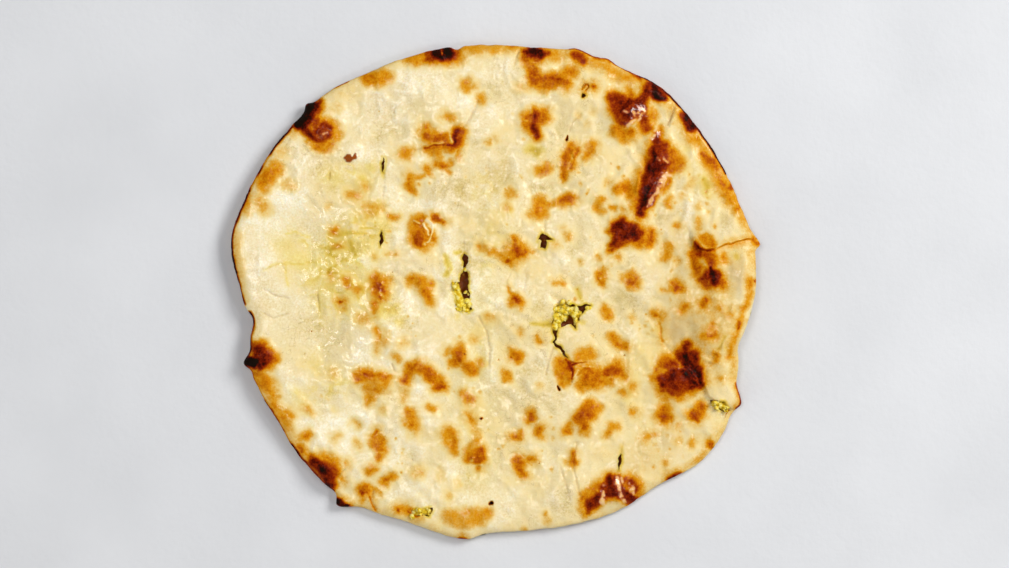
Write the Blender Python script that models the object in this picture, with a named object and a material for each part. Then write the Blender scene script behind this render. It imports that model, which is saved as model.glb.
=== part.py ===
"""Cheese naan, as two solids: the bread and the layer of melted cheese inside it.

The bread is one piece of dough. Two thin layers are joined all round the rim, and the pocket
between them holds the cheese. The upper layer is torn open in places, so that the cheese shows.
Lengths below are in millimetres and are turned into metres where points are made. X runs to the
right and Y away from someone who looks down at the bread, and Z is up. The bread rests on z = 0
with the middle of its outline over the origin.
"""
import bmesh
import bpy
import numpy as np
from mathutils import Vector
from mathutils.geometry import delaunay_2d_cdt

MM = 0.001

# Outline: radii every ten degrees, anticlockwise from +X, then what stands out of it or cuts into it.
RIM_RADII = [
    140.5, 142, 140.5, 140.5, 141, 142.5, 139, 137.5, 134, 133.5, 134.5, 135.5,
    137, 141, 142, 143.5, 144.5, 145.5, 138, 135.5, 139, 137.5, 139, 139.5,
    137, 134, 135, 131, 131.5, 134, 136.5, 137.5, 144.5, 145, 139, 136.5,
]
# Angle in degrees, half width before it and after it in degrees, reach outwards.
RIM_FEATURES = {
    "corner of the fold": (10, 0.8, 2.5, 3.3),
    "knob of crust, upper right": (64, 2, 2, 1.5),
    "flap of crust, upper right": (71.5, 2, 2, 1.5),
    "nick beside the burnt knob": (99, 1.2, 1.2, -2),
    "burnt tip, upper left": (135.3, 1.2, 1.2, 2.5),
    "notch, left": (187, 2.5, 2.5, -3.5),
    "burnt corner, left": (196, 1.6, 1.6, 4),
    "lower lip": (233.5, 1.2, 3, 5.5),
    "hollow of the curled side": (347, 2.5, 2.5, -2),
    "end of the curled side": (335.5, 2, 2.4, 4.5),
    "burnt spot, lower rim": (264, 3, 2, 1.8),
}
RIM_POINTS = 180

# Thickness of the layers, in the middle of the bread.
LOWER_DOUGH = 2.8
POCKET = 3.0
UPPER_DOUGH = 2.6
THICKNESS = LOWER_DOUGH + POCKET + UPPER_DOUGH
GAP = 0.3
CEILING_GAP = 0.5

# Rim: the edge is round, and the bread gets thinner towards it.
EDGE_MIDDLE = 3.2
TOP_ROUND = 7.0
UNDER_ROUND = 4.0
EDGE_THINNING = 1.8
THINNING_WIDTH = 26.0
POCKET_MARGIN = 13.0

# The right side curls up to a crest and rolls over outside it. Towards the near end the foot of the
# curl lies further out and its crest further in: each is given for two places along Y.
CURL_HEIGHT = 12.0
CURL_FAR_Y = 48.0
CURL_FAR_FADE = 36.0
CURL_NEAR_Y = -75.0
CURL_NEAR_FADE = 60.0
FOOT_Y = (-18.0, -50.0)
FOOT_X = (84.0, 109.0)
CREST_Y = (-8.0, -46.0)
CREST_X = (134.0, 122.0)
LIP_DROOP = 4.0
LIP_WIDTH = 9.0
# The left side rises a little, and so does the whole rim.
LEFT_LIFT = 4.0
LEFT_FROM_X = -92.0
LEFT_TO_X = -140.0
RIM_LIFT = 1.6
RIM_LIFT_WIDTH = 40.0

# Broad waves of the upper face: wavelength, direction in degrees, start in degrees, height.
WAVES = [
    (74, 20, 40, 0.75),
    (53, 105, 200, 0.6),
    (39, 64, 110, 0.45),
    (33, 150, 300, 0.35),
]

# Blisters: place x and y, long and short radius, turn in degrees, height.
BLISTERS = [
    (72, 97, 16, 14, 0, 3.0),
    (85, 66, 27, 12, 74, 3.4),
    (71, 31, 14, 10, 20, 2.2),
    (-98, 91, 17, 10, -50, 2.4),
    (20, 91, 13, 10, 100, 1.8),
    (101, -44, 18, 16, 30, 2.4),
    (64, -108, 20, 12, 20, 3.0),
    (48, -67, 12, 9, 70, 1.8),
    (-39, 32, 11, 9, 110, 1.8),
    (-62, 2, 11, 8, 80, 1.6),
    (-38, 0, 12, 8, 110, 1.4),
    (10, 21, 12, 9, 20, 1.5),
    (-66, -47, 13, 9, -20, 1.7),
    (-37, -44, 15, 8, -35, 1.5),
    (-17, -37, 12, 9, -40, 1.7),
    (-10, -88, 11, 8, 80, 1.6),
    (49, -43, 21, 11, 10, 2.6),
    (115, 13, 16, 10, 110, 2.2),
    (-29, 79, 14, 11, 0, 1.6),
    (-126, -35, 11, 9, 60, 2.0),
    (-93, -96, 15, 9, -40, 2.0),
    (84, 109, 10, 7, -30, 1.6),
    (-29, 127, 9, 6, 0, 1.6),
    (20, 129, 9, 6, -20, 1.4),
]

# Folds, where the dough on the left of a line of points lies over the dough on its right.
FOLD_LINES = {
    "right side": [(107, 26.5), (108, 23.5), (113, 22), (119, 23.3), (126, 25.5), (133, 27.5), (142, 29)],
    "end of the curled side": [(112, -50), (115, -57), (121, -60.5), (128, -64), (134, -67)],
    "burnt flap": [(-88, -111), (-87, -103), (-82, -97)],
}
FOLD_STEP = 2.6
FOLD_FACE = 1.6
FOLD_REACH = 24.0
FOLD_POINTS = 5.0

# Tears through the upper layer, as closed lines of points.
TEARS = {
    "main hole": [
        (31, -13), (34, -7), (40, -6), (46, -8), (52, -8), (48, -12), (45, -19), (40, -20),
        (36, -20), (35, -26), (37, -32), (40, -37), (35, -33), (32, -27), (31, -20),
    ],
    "long tear": [
        (-17, 20), (-15, 16), (-14, 8), (-15, 0), (-13, -8), (-17, -11), (-22, -4), (-23, 3),
        (-19, 6), (-19, 14),
    ],
    "small hole": [(23, 29), (26, 31), (31, 29), (28, 28), (27, 23), (24, 23)],
    "opening at the lower rim": [(-46, -118), (-40, -118), (-34, -117), (-36, -122), (-44, -121)],
    "opening at the right rim": [(116, -58.6), (121, -59.3), (125.8, -62.6), (124, -64.6), (119, -62.8)],
}
# Narrow slits: middle x and y, length, width, turn in degrees.
SLITS = [
    (-61, 68, 10, 2.0, 90),
    (-61.5, 28, 11, 2.2, 84),
    (67.5, -92, 11, 2.2, 80),
    (47.5, 106, 5, 2.4, 50),
]
TEAR_POINTS = 3.0
TEAR_RAGGED = 0.45
# The pocket comes close to the rim where an opening is: angle and half width in degrees, margin.
POCKET_REACHES = [(250.5, 9, 2.4), (332.5, 9, 2.4)]

# A flake of burnt crust that is stuck to the upper face, as a closed line of points.
FLAKE = [(-82, 71), (-79, 73), (-75, 74), (-74, 71), (-78, 69.5), (-81, 69.5)]
FLAKE_THICKNESS = 0.9
FLAKE_SIDE = 0.5

# Cheese curds: how far they stand above the layer, at most, and how far apart they are.
CURD_HEIGHT = 3.6
CURD_STEP = 2.4
CURD_SHORE = 0.5
CURD_RISE = 2.2

# Spacing of the points in plan.
FINE_STEP = 4.0
COARSE_STEP = 2 * FINE_STEP
POCKET_STEP = 10.0
DETAIL_HEIGHT = 0.25

BREAD_COLOUR = "E9CF93"
CHEESE_COLOUR = "DDBF45"


def clear_scene():
    for item in list(bpy.data.objects):
        bpy.data.objects.remove(item, do_unlink=True)


def smooth(t):
    """Goes from 0 to 1 as t does, and is level at both ends."""
    t = np.clip(t, 0.0, 1.0)
    return t * t * (3.0 - 2.0 * t)


def rim_radius(degrees):
    """Distance from the middle to the outline: a closed curve through the radii, with its features."""
    count = len(RIM_RADII)
    place = np.mod(degrees, 360.0) * count / 360.0
    first = np.floor(place).astype(int)
    t = place - first
    radii = np.array(RIM_RADII, dtype=float)
    before, here, after, later = (radii[(first + k) % count] for k in (-1, 0, 1, 2))
    curve = here + 0.5 * t * (
        after - before
        + t * (2 * before - 5 * here + 4 * after - later)
        + t * t * (3 * (here - after) + later - before)
    )
    for angle, width_before, width_after, reach in RIM_FEATURES.values():
        away = np.mod(degrees - angle + 180.0, 360.0) - 180.0
        width = np.where(away < 0.0, width_before, width_after)
        curve = curve + reach * np.exp(-(away / width) ** 2)
    return curve


def loop_at(inset):
    """The outline, or a line inside it, as one row of points at equal angles."""
    degrees = np.arange(RIM_POINTS) * 360.0 / RIM_POINTS
    turn = np.radians(degrees)
    radius = rim_radius(degrees) - inset
    return np.column_stack([radius * np.cos(turn), radius * np.sin(turn)])


def rim_distance(x, y):
    """How far a place lies inside the outline, along its own ray."""
    return rim_radius(np.degrees(np.arctan2(y, x))) - np.hypot(x, y)


def pocket_margin(degrees):
    """Width of the joined rim outside the pocket."""
    margin = np.full_like(degrees, POCKET_MARGIN, dtype=float)
    for angle, half_width, least in POCKET_REACHES:
        away = np.abs(np.mod(degrees - angle + 180.0, 360.0) - 180.0)
        margin = margin - (POCKET_MARGIN - least) * smooth(1.6 - away / half_width)
    return margin


def hump(x, y, blister):
    """A round bump of height 1 on an ellipse, which meets the dough without an edge."""
    middle_x, middle_y, long_radius, short_radius, turn, _ = blister
    c, s = np.cos(np.radians(turn)), np.sin(np.radians(turn))
    along = ((x - middle_x) * c + (y - middle_y) * s) / long_radius
    across = ((y - middle_y) * c - (x - middle_x) * s) / short_radius
    return np.clip(1.0 - along**2 - across**2, 0.0, 1.0) ** 1.5


def side_of_line(x, y, line):
    """Distance from a line of points, positive on its left, and how far past its ends a place is."""
    nearest = np.full_like(x, 1e9, dtype=float)
    side = np.zeros_like(nearest)
    past = np.zeros_like(nearest)
    last = len(line) - 2
    for k in range(len(line) - 1):
        (ax, ay), (bx, by) = line[k], line[k + 1]
        length = np.hypot(bx - ax, by - ay)
        ux, uy = (bx - ax) / length, (by - ay) / length
        along = (x - ax) * ux + (y - ay) * uy
        held = np.clip(along, 0.0, length)
        away = np.hypot(x - ax - held * ux, y - ay - held * uy)
        closer = away < nearest
        left = np.sign((y - ay) * ux - (x - ax) * uy)
        beyond = np.zeros_like(nearest)
        if k == 0:
            beyond = np.maximum(beyond, -along)
        if k == last:
            beyond = np.maximum(beyond, along - length)
        side = np.where(closer, left * away, side)
        past = np.where(closer, beyond, past)
        nearest = np.where(closer, away, nearest)
    return side, past


def folds(x, y):
    """Height of the dough that lies over its neighbour at a fold, and the hollow under its edge."""
    height = np.zeros_like(x, dtype=float)
    for line in FOLD_LINES.values():
        side, past = side_of_line(x, y, line)
        step = smooth(side / FOLD_FACE + 0.5) - 0.35
        fade = smooth(1.0 - np.abs(side) / FOLD_REACH) * smooth(1.0 - past / (0.5 * FOLD_REACH))
        height += FOLD_STEP * step * fade
    return height


def waves(x, y):
    height = np.zeros_like(x, dtype=float)
    for length, direction, start, tall in WAVES:
        turn = np.radians(direction)
        along = x * np.cos(turn) + y * np.sin(turn)
        height += tall * np.sin(2.0 * np.pi * along / length + np.radians(start))
    return height


def blisters(x, y):
    height = np.zeros_like(x, dtype=float)
    for blister in BLISTERS:
        height += blister[5] * hump(x, y, blister)
    return height


def between(place, places, values):
    """Goes smoothly from the first value to the second one between two places."""
    return values[0] + (values[1] - values[0]) * smooth((place - places[0]) / (places[1] - places[0]))


def curl(x, y):
    """Rise of the right side to its crest, and the droop of the lip outside it."""
    foot = between(y, FOOT_Y, FOOT_X)
    crest = between(y, CREST_Y, CREST_X)
    ends = smooth((CURL_FAR_Y - y) / CURL_FAR_FADE) * smooth((y - CURL_NEAR_Y) / CURL_NEAR_FADE)
    climb = smooth((x - foot) / (crest - foot))
    return ends * (CURL_HEIGHT * climb - LIP_DROOP * smooth((x - crest) / LIP_WIDTH))


def lift(x, y):
    """How far the bread stands off the surface it lies on; nothing in the middle."""
    inset = np.maximum(rim_distance(x, y), 0.0)
    left = LEFT_LIFT * smooth((x - LEFT_FROM_X) / (LEFT_TO_X - LEFT_FROM_X))
    rim = RIM_LIFT * smooth(1.0 - inset / RIM_LIFT_WIDTH)
    return curl(x, y) + left + rim


def edge_round(inset, width):
    """Quarter of an ellipse: 0 at the outline, 1 from the given width inwards."""
    t = np.clip(inset / width, 0.0, 1.0)
    return np.sqrt(1.0 - (1.0 - t) ** 2)


def flake(x, y):
    """Height of the flake, which has steep sides."""
    line = np.array(FLAKE, dtype=float)
    places = np.column_stack([x, y])
    depth = np.where(inside(places, line), distance_to(places, line), 0.0)
    return FLAKE_THICKNESS * smooth(depth / FLAKE_SIDE)


def top(x, y):
    """Upper face of the bread."""
    inset = np.maximum(rim_distance(x, y), 0.0)
    body = THICKNESS - EDGE_THINNING * smooth(1.0 - inset / THINNING_WIDTH)
    body = body + waves(x, y) * smooth(inset / THINNING_WIDTH)
    body = body + blisters(x, y) + folds(x, y) + flake(x, y)
    return lift(x, y) + EDGE_MIDDLE + (body - EDGE_MIDDLE) * edge_round(inset, TOP_ROUND)


def underside(x, y):
    inset = np.maximum(rim_distance(x, y), 0.0)
    return lift(x, y) + EDGE_MIDDLE * (1.0 - edge_round(inset, UNDER_ROUND))


def pocket_floor(x, y):
    return lift(x, y) + LOWER_DOUGH


def pocket_ceiling(x, y):
    inset = np.maximum(rim_distance(x, y), 0.0)
    thinner = 0.5 * EDGE_THINNING * smooth(1.0 - inset / THINNING_WIDTH)
    return lift(x, y) + LOWER_DOUGH + POCKET - thinner + 0.5 * waves(x, y) * smooth(inset / THINNING_WIDTH)


def pocket_loop(clearance):
    """Edge of the pocket, or of the cheese a clearance inside it."""
    degrees = np.arange(RIM_POINTS // 2) * 720.0 / RIM_POINTS
    turn = np.radians(degrees)
    radius = rim_radius(degrees) - pocket_margin(degrees) - clearance
    return np.column_stack([radius * np.cos(turn), radius * np.sin(turn)])


def ragged(points, rng):
    """A closed line with points at an even spacing, each moved a little in or out as torn dough is."""
    corners = np.array(points, dtype=float)
    row = []
    for here, after in zip(corners, np.roll(corners, -1, axis=0)):
        steps = max(1, round(float(np.linalg.norm(after - here)) / TEAR_POINTS))
        for k in range(steps):
            row.append(here + (after - here) * k / steps)
    row = np.array(row)
    return row + rng.uniform(-TEAR_RAGGED, TEAR_RAGGED, row.shape)


def slit(middle_x, middle_y, length, width, turn):
    """A pointed opening with two bowed sides."""
    c, s = np.cos(np.radians(turn)), np.sin(np.radians(turn))
    places = [(-0.5, 0.0), (-0.2, -0.45), (0.2, -0.5), (0.5, 0.0), (0.2, 0.5), (-0.2, 0.45)]
    return np.array([
        (middle_x + a * length * c - b * width * s, middle_y + a * length * s + b * width * c)
        for a, b in places
    ])


def tear_loops():
    rng = np.random.default_rng(11)
    return [ragged(points, rng) for points in TEARS.values()] + [slit(*row) for row in SLITS]


def inside(points, loop):
    """Whether each place lies inside a closed line, by counting the sides that a ray crosses."""
    x, y = points[:, 0:1], points[:, 1:2]
    ax, ay = loop[:, 0], loop[:, 1]
    bx, by = np.roll(ax, -1), np.roll(ay, -1)
    rise = np.where(by == ay, 1e-12, by - ay)
    crossed = ((ay > y) != (by > y)) & (x < (bx - ax) * (y - ay) / rise + ax)
    return np.count_nonzero(crossed, axis=1) % 2 == 1


def distance_to(points, loop):
    """Shortest distance from each place to a closed line."""
    a, b = loop, np.roll(loop, -1, axis=0)
    run = b - a
    offset = points[:, None, :] - a[None, :, :]
    t = np.clip((offset * run).sum(axis=2) / (run**2).sum(axis=1), 0.0, 1.0)
    return np.linalg.norm(offset - t[..., None] * run, axis=2).min(axis=1)


def shrink(loop, amount):
    """A closed line moved inwards, corner by corner."""
    before, after = np.roll(loop, 1, axis=0), np.roll(loop, -1, axis=0)
    run = after - before
    turn = np.sum(loop[:, 0] * after[:, 1] - after[:, 0] * loop[:, 1])
    inward = np.column_stack([-run[:, 1], run[:, 0]]) * np.sign(turn)
    return loop + amount * inward / np.linalg.norm(run, axis=1, keepdims=True)


def lattice(step):
    """Triangular lattice over the whole bread, with each point's row and column."""
    reach = int(160 / step) + 1
    rows, columns = np.mgrid[-reach:reach + 1, -2 * reach:2 * reach + 1]
    x = (columns + 0.5 * rows) * step
    y = rows * step * np.sqrt(0.75)
    return np.column_stack([x.ravel(), y.ravel()]), rows.ravel(), columns.ravel()


def clear_of(points, least_inset, loops, clearance):
    """The points that lie far enough inside the outline and away from every tear."""
    kept = points[rim_distance(points[:, 0], points[:, 1]) > least_inset]
    for loop in loops:
        near = distance_to(kept, loop) < clearance
        kept = kept[~(near | inside(kept, loop))]
    return kept


def fold_rows(tears):
    """Rows of points on both sides of each fold, so that its step stays sharp."""
    rows = []
    for line in FOLD_LINES.values():
        corners = np.array(line, dtype=float)
        places = []
        for here, after in zip(corners[:-1], corners[1:]):
            steps = max(1, round(float(np.linalg.norm(after - here)) / FOLD_POINTS))
            places += [here + (after - here) * k / steps for k in range(steps)]
        places = np.array(places + [corners[-1]])
        run = np.gradient(places, axis=0)
        left = np.column_stack([-run[:, 1], run[:, 0]]) / np.linalg.norm(run, axis=1, keepdims=True)
        for side in (-0.5, 0.5):
            row = places + side * FOLD_FACE * left
            rows.append(clear_of(row, 4.0, tears, 0.5 * TEAR_POINTS))
    return rows


def flake_rows():
    """Foot and upper edge of the flake."""
    foot = np.array(FLAKE, dtype=float)
    edge = shrink(foot, FLAKE_SIDE)
    return [np.vstack([row, row[:1]]) for row in (foot, edge)]


def sheet(outer, holes, chains, free):
    """Triangles in plan between an outer line and holes. The points keep the order given."""
    coords, edges = [], []
    for row in [outer] + holes:
        start, count = len(coords), len(row)
        coords += [Vector(p) for p in row]
        edges += [(start + k, start + (k + 1) % count) for k in range(count)]
    for row in chains:
        start = len(coords)
        closed = np.array_equal(row[0], row[-1])
        count = len(row) - closed
        coords += [Vector(p) for p in row[:count]]
        edges += [(start + k, start + (k + 1) % count) for k in range(len(row) - 1)]
    coords += [Vector(p) for p in free]
    found, _, faces, sources, _, _ = delaunay_2d_cdt(coords, edges, [], 1, 1e-5)
    place = np.array([source[0] for source in sources])
    points = np.zeros((len(coords), 2))
    points[place] = [tuple(p) for p in found]
    triangles = place[np.array(faces)]
    middles = points[triangles].mean(axis=1)
    for hole in holes:
        outside = ~inside(middles, hole)
        triangles, middles = triangles[outside], middles[outside]
    return points, triangles


def loops_in(rows):
    """First and last place of each row, in the order in which a sheet keeps them."""
    ends = np.cumsum([len(row) for row in rows])
    return [range(end - len(row), end) for row, end in zip(rows, ends)]


def add_sheet(mesh, plan, height, shared=()):
    """Adds a sheet at its heights and gives back its points; the first ones may exist already."""
    points, triangles = plan
    z = height(points[:, 0], points[:, 1])
    corners = list(shared)
    for k in range(len(corners), len(points)):
        corners.append(mesh.verts.new((points[k, 0] * MM, points[k, 1] * MM, z[k] * MM)))
    for a, b, c in triangles:
        mesh.faces.new((corners[a], corners[b], corners[c]))
    return corners


def add_wall(mesh, row, other):
    """Joins two closed rows of the same number of points."""
    count = len(row)
    for k in range(count):
        after = (k + 1) % count
        mesh.faces.new((row[k], row[after], other[after]))
        mesh.faces.new((row[k], other[after], other[k]))


def material(name, colour, roughness):
    made = bpy.data.materials.new(name)
    made.use_nodes = True
    shader = made.node_tree.nodes["Principled BSDF"]
    levels = [int(colour[k:k + 2], 16) / 255.0 for k in (0, 2, 4)]
    linear = [v / 12.92 if v <= 0.04045 else ((v + 0.055) / 1.055) ** 2.4 for v in levels]
    shader.inputs["Base Color"].default_value = (*linear, 1.0)
    shader.inputs["Roughness"].default_value = roughness
    shader.inputs["Metallic"].default_value = 0.0
    return made


def finish(name, mesh, finish_material):
    """Turns the faces outwards, sets the outline's middle over the origin and makes the object."""
    bmesh.ops.recalc_face_normals(mesh, faces=mesh.faces[:])
    outline = loop_at(0.0)
    middle = 0.5 * (outline.min(axis=0) + outline.max(axis=0)) * MM
    bmesh.ops.translate(mesh, verts=mesh.verts[:], vec=(-middle[0], -middle[1], 0.0))
    data = bpy.data.meshes.new(name)
    mesh.to_mesh(data)
    mesh.free()
    data.shade_smooth()
    data.set_sharp_from_angle(angle=np.radians(50.0))
    data.materials.append(finish_material)
    made = bpy.data.objects.new(name, data)
    bpy.context.collection.objects.link(made)
    return made


def top_points(tears):
    """Points of the upper face: close together on blisters, folds and tears, wider apart elsewhere."""
    points, rows, columns = lattice(FINE_STEP)
    x, y = points[:, 0], points[:, 1]
    detail = blisters(x, y) > DETAIL_HEIGHT
    for loop in tears:
        detail |= distance_to(points, loop) < COARSE_STEP
    for line in FOLD_LINES.values():
        side, past = side_of_line(x, y, line)
        detail |= (np.abs(side) < COARSE_STEP) & (past < COARSE_STEP)
    wide = (rows % 2 == 0) & (columns % 2 == 0)
    kept = clear_of(points[detail | wide], 6.0, tears, 0.5 * TEAR_POINTS)
    for row in fold_rows(tears) + flake_rows():
        kept = kept[np.linalg.norm(kept[:, None, :] - row[None, :, :], axis=2).min(axis=1) > 2.0]
    return kept


def build_bread():
    tears = tear_loops()
    outline = loop_at(0.0)
    mesh = bmesh.new()

    rim_rows = [loop_at(1.0), loop_at(3.2)]
    creases = fold_rows(tears) + flake_rows()
    top_plan = sheet(outline, tears, creases, np.vstack(rim_rows + [top_points(tears)]))
    top_corners = add_sheet(mesh, top_plan, top)
    shared = top_corners[:RIM_POINTS]

    coarse = clear_of(lattice(COARSE_STEP)[0], 7.0, [], 0.0)
    under_plan = sheet(outline, [], [], np.vstack([loop_at(0.8), loop_at(3.0), coarse]))
    add_sheet(mesh, under_plan, underside, shared)

    edge = pocket_loop(0.0)
    middle = lattice(POCKET_STEP)[0]
    middle = middle[inside(middle, edge) & (distance_to(middle, edge) > 0.5 * POCKET_STEP)]
    ceiling_plan = sheet(edge, tears, [], clear_of(middle, 0.0, tears, TEAR_POINTS))
    ceiling = add_sheet(mesh, ceiling_plan, pocket_ceiling)
    floor = add_sheet(mesh, sheet(edge, [], [], middle), pocket_floor)
    add_wall(mesh, floor[:len(edge)], ceiling[:len(edge)])
    top_spans = loops_in([outline] + tears)[1:]
    ceiling_spans = loops_in([edge] + tears)[1:]
    for above, below in zip(top_spans, ceiling_spans):
        add_wall(mesh, [top_corners[k] for k in above], [ceiling[k] for k in below])
    return finish("bread", mesh, material("baked dough", BREAD_COLOUR, 0.55))


def build_cheese():
    """The cheese fills the pocket, and its curds rise into the tears."""
    rng = np.random.default_rng(23)
    tears = tear_loops()[:len(TEARS)]
    shores = [shrink(loop, CURD_SHORE) for loop in tears]
    edge = pocket_loop(GAP)
    middle = lattice(POCKET_STEP)[0]
    middle = middle[inside(middle, edge) & (distance_to(middle, edge) > 0.5 * POCKET_STEP)]
    curds = []
    for shore in shores:
        points = lattice(CURD_STEP)[0]
        points = points[inside(points, shore)]
        curds.append(points[distance_to(points, shore) > 0.3 * CURD_STEP])
    around = clear_of(middle, 0.0, shores, TEAR_POINTS)
    mesh = bmesh.new()

    def layer_top(x, y):
        height = pocket_ceiling(x, y) - CEILING_GAP
        places = np.column_stack([x, y])
        for shore in shores:
            within = inside(places, shore)
            depth = np.where(within, distance_to(places, shore), 0.0)
            tall = CURD_HEIGHT * rng.uniform(0.1, 1.0, len(x)) * smooth(depth / CURD_RISE)
            height = height + np.where(depth > 0.2, tall, 0.0)
        return height

    plan = sheet(edge, [], shores, np.vstack(curds + [around]))
    upper = add_sheet(mesh, plan, layer_top)
    lower = add_sheet(mesh, sheet(edge, [], [], middle), lambda x, y: pocket_floor(x, y) + GAP)
    add_wall(mesh, lower[:len(edge)], upper[:len(edge)])
    return finish("cheese_filling", mesh, material("melted cheese", CHEESE_COLOUR, 0.4))


def main():
    clear_scene()
    build_bread()
    build_cheese()


main()
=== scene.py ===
# %% [markdown]
# # Cheese naan
# A naan is a flat leavened bread. It is slapped onto the hot wall of a clay oven, so it scorches in
# blisters and stays pale between them. This one has a layer of cheese between two thin layers of dough,
# which are joined all round the rim. This lesson gives the two solids of the part their looks.
# The part comes in as a fixed frame. Lengths of the dough and the cheese are in millimetres until a
# mesh is made of them. The camera, the lamps, the floor and the materials take metres, as Blender
# does, and MM turns millimetres into metres.

import bpy
import numpy as np
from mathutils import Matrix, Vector
from mathutils.geometry import delaunay_2d_cdt


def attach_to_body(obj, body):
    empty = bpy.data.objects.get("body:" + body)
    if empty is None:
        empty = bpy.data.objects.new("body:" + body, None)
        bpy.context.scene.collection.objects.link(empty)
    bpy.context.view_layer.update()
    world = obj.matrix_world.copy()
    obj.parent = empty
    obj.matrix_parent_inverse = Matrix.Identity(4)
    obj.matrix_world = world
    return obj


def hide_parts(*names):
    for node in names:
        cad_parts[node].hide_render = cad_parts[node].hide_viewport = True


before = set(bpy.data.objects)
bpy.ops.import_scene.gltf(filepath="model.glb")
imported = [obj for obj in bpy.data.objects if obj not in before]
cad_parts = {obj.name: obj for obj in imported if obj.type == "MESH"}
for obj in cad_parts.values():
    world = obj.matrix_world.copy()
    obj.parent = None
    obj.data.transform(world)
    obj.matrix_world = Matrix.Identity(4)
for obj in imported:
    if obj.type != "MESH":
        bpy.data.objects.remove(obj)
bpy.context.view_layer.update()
MM = 0.001
print("nodes:", sorted(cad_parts))

# %% [markdown]
# ## Camera
# The bread is seen from straight above. The camera could stand near with a short lens, but then what
# stands higher would be drawn further out, so it stands far off with a long one.

# %% Camera
IMAGE_WIDTH_PX, IMAGE_HEIGHT_PX = 1009, 568
PIXEL_MM = 0.54
CAMERA_DISTANCE = 2.4
SENSOR_WIDTH_MM = 36.0
BREAD_MIDDLE_PX = (495.5, 291.0)
BREAD_HEIGHT = 8.0

view_width = IMAGE_WIDTH_PX * PIXEL_MM * MM
camera_data = bpy.data.cameras.new("camera")
camera_data.sensor_width = SENSOR_WIDTH_MM
camera_data.lens = SENSOR_WIDTH_MM * CAMERA_DISTANCE / view_width
camera = bpy.data.objects.new("camera", camera_data)
bpy.context.scene.collection.objects.link(camera)
bpy.context.scene.camera = camera
print("view", round(view_width, 3), "m wide, lens", round(camera_data.lens, 1), "mm")

# %% [markdown]
# ## Helpers
# A few small functions are used all through. They ease between two values and make soft random lumps.
# Every pattern of lumps has a name, with its height and its size in millimetres. Nodes could make such
# patterns too, but here they must also shape the mesh.

# %% Helpers for shapes
TABLE_SIZE = 512
LUMP_TABLE = np.random.default_rng(5).uniform(-1.0, 1.0, (TABLE_SIZE, TABLE_SIZE))
# How far apart in the table two patterns lie.
PATTERN_STEPS = (37.3, 91.7)
# Patterns by name, filled in where each is first needed: height, size in x, size in y and number.
# A pattern that moves places takes the next number too.
PATTERNS = {}


def smooth(t):
    """Goes from 0 to 1 as t does, and is level at both ends."""
    t = np.clip(t, 0.0, 1.0)
    return t * t * (3.0 - 2.0 * t)


def between(place, places, values=(0.0, 1.0)):
    """Goes smoothly from the first value to the second one between two places."""
    return values[0] + (values[1] - values[0]) * smooth((place - places[0]) / (places[1] - places[0]))


def lumps(name, x, y, further=0):
    """Soft random lumps that reach as far up and down as the height of their pattern."""
    height, size_x, size_y, number = PATTERNS[name]
    u = x / size_x + PATTERN_STEPS[0] * (number + further)
    v = y / size_y + PATTERN_STEPS[1] * (number + further)
    iu, iv = np.floor(u).astype(int), np.floor(v).astype(int)
    fu, fv = smooth(u - iu), smooth(v - iv)
    rows = [LUMP_TABLE[(iu + a) % TABLE_SIZE, (iv + b) % TABLE_SIZE] for a in (0, 1) for b in (0, 1)]
    near = rows[0] + (rows[1] - rows[0]) * fv
    far = rows[2] + (rows[3] - rows[2]) * fv
    return height * (near + (far - near) * fu)


def nudge(name, x, y):
    """How far each place is moved at random, in x and in y."""
    return lumps(name, x, y), lumps(name, x, y, 1)


print("lumps are read from a table of", LUMP_TABLE.shape)

# %% [markdown]
# ## Outline
# A naan is stretched by hand, so its outline is a slightly uneven oval with corners where the dough
# was pulled. It could be drawn as a long list of points. Radii every ten degrees with a smooth curve
# through them need far fewer, and each corner or notch is one more row.

# %% Outline
RIM_RADII = [
    140.5, 142, 140.5, 140.5, 141, 142.5, 139, 137.5, 134, 133.5, 134.5, 135.5,
    137, 141, 142, 143.5, 144.5, 145.5, 138, 135.5, 139, 137.5, 139, 139.5,
    137, 134, 135, 131, 131.5, 134, 136.5, 137.5, 144.5, 145, 139, 136.5,
]
# Angle in degrees, half width before it and after it in degrees, reach outwards.
RIM_FEATURES = {
    "corner of the fold": (10, 0.8, 2.5, 3.3),
    "knob of crust, upper right": (64, 2, 2, 1.5),
    "flap of crust, upper right": (71.5, 2, 2, 1.5),
    "nick beside the burnt knob": (99, 1.2, 1.2, -2),
    "burnt tip, upper left": (135.3, 1.2, 1.2, 2.5),
    "notch, left": (187, 2.5, 2.5, -3.5),
    "burnt corner, left": (196, 1.6, 1.6, 4),
    "lower lip": (233.5, 1.2, 3, 5.5),
    "hollow of the curled side": (347, 2.5, 2.5, -2),
    "end of the curled side": (335.5, 2, 2.4, 4.5),
    "burnt spot, lower rim": (264, 3, 2, 1.8),
}
RIM_POINTS = 1080
RIM_RAGGED, RIM_TRIM = 0.3, 1.5
ABOUT_RADIUS = 140.0
PATTERNS |= {
    "rim coarse": (1, 5, 1, 1),
    "rim fine": (0.5, 1.7, 1, 2),
}


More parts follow.
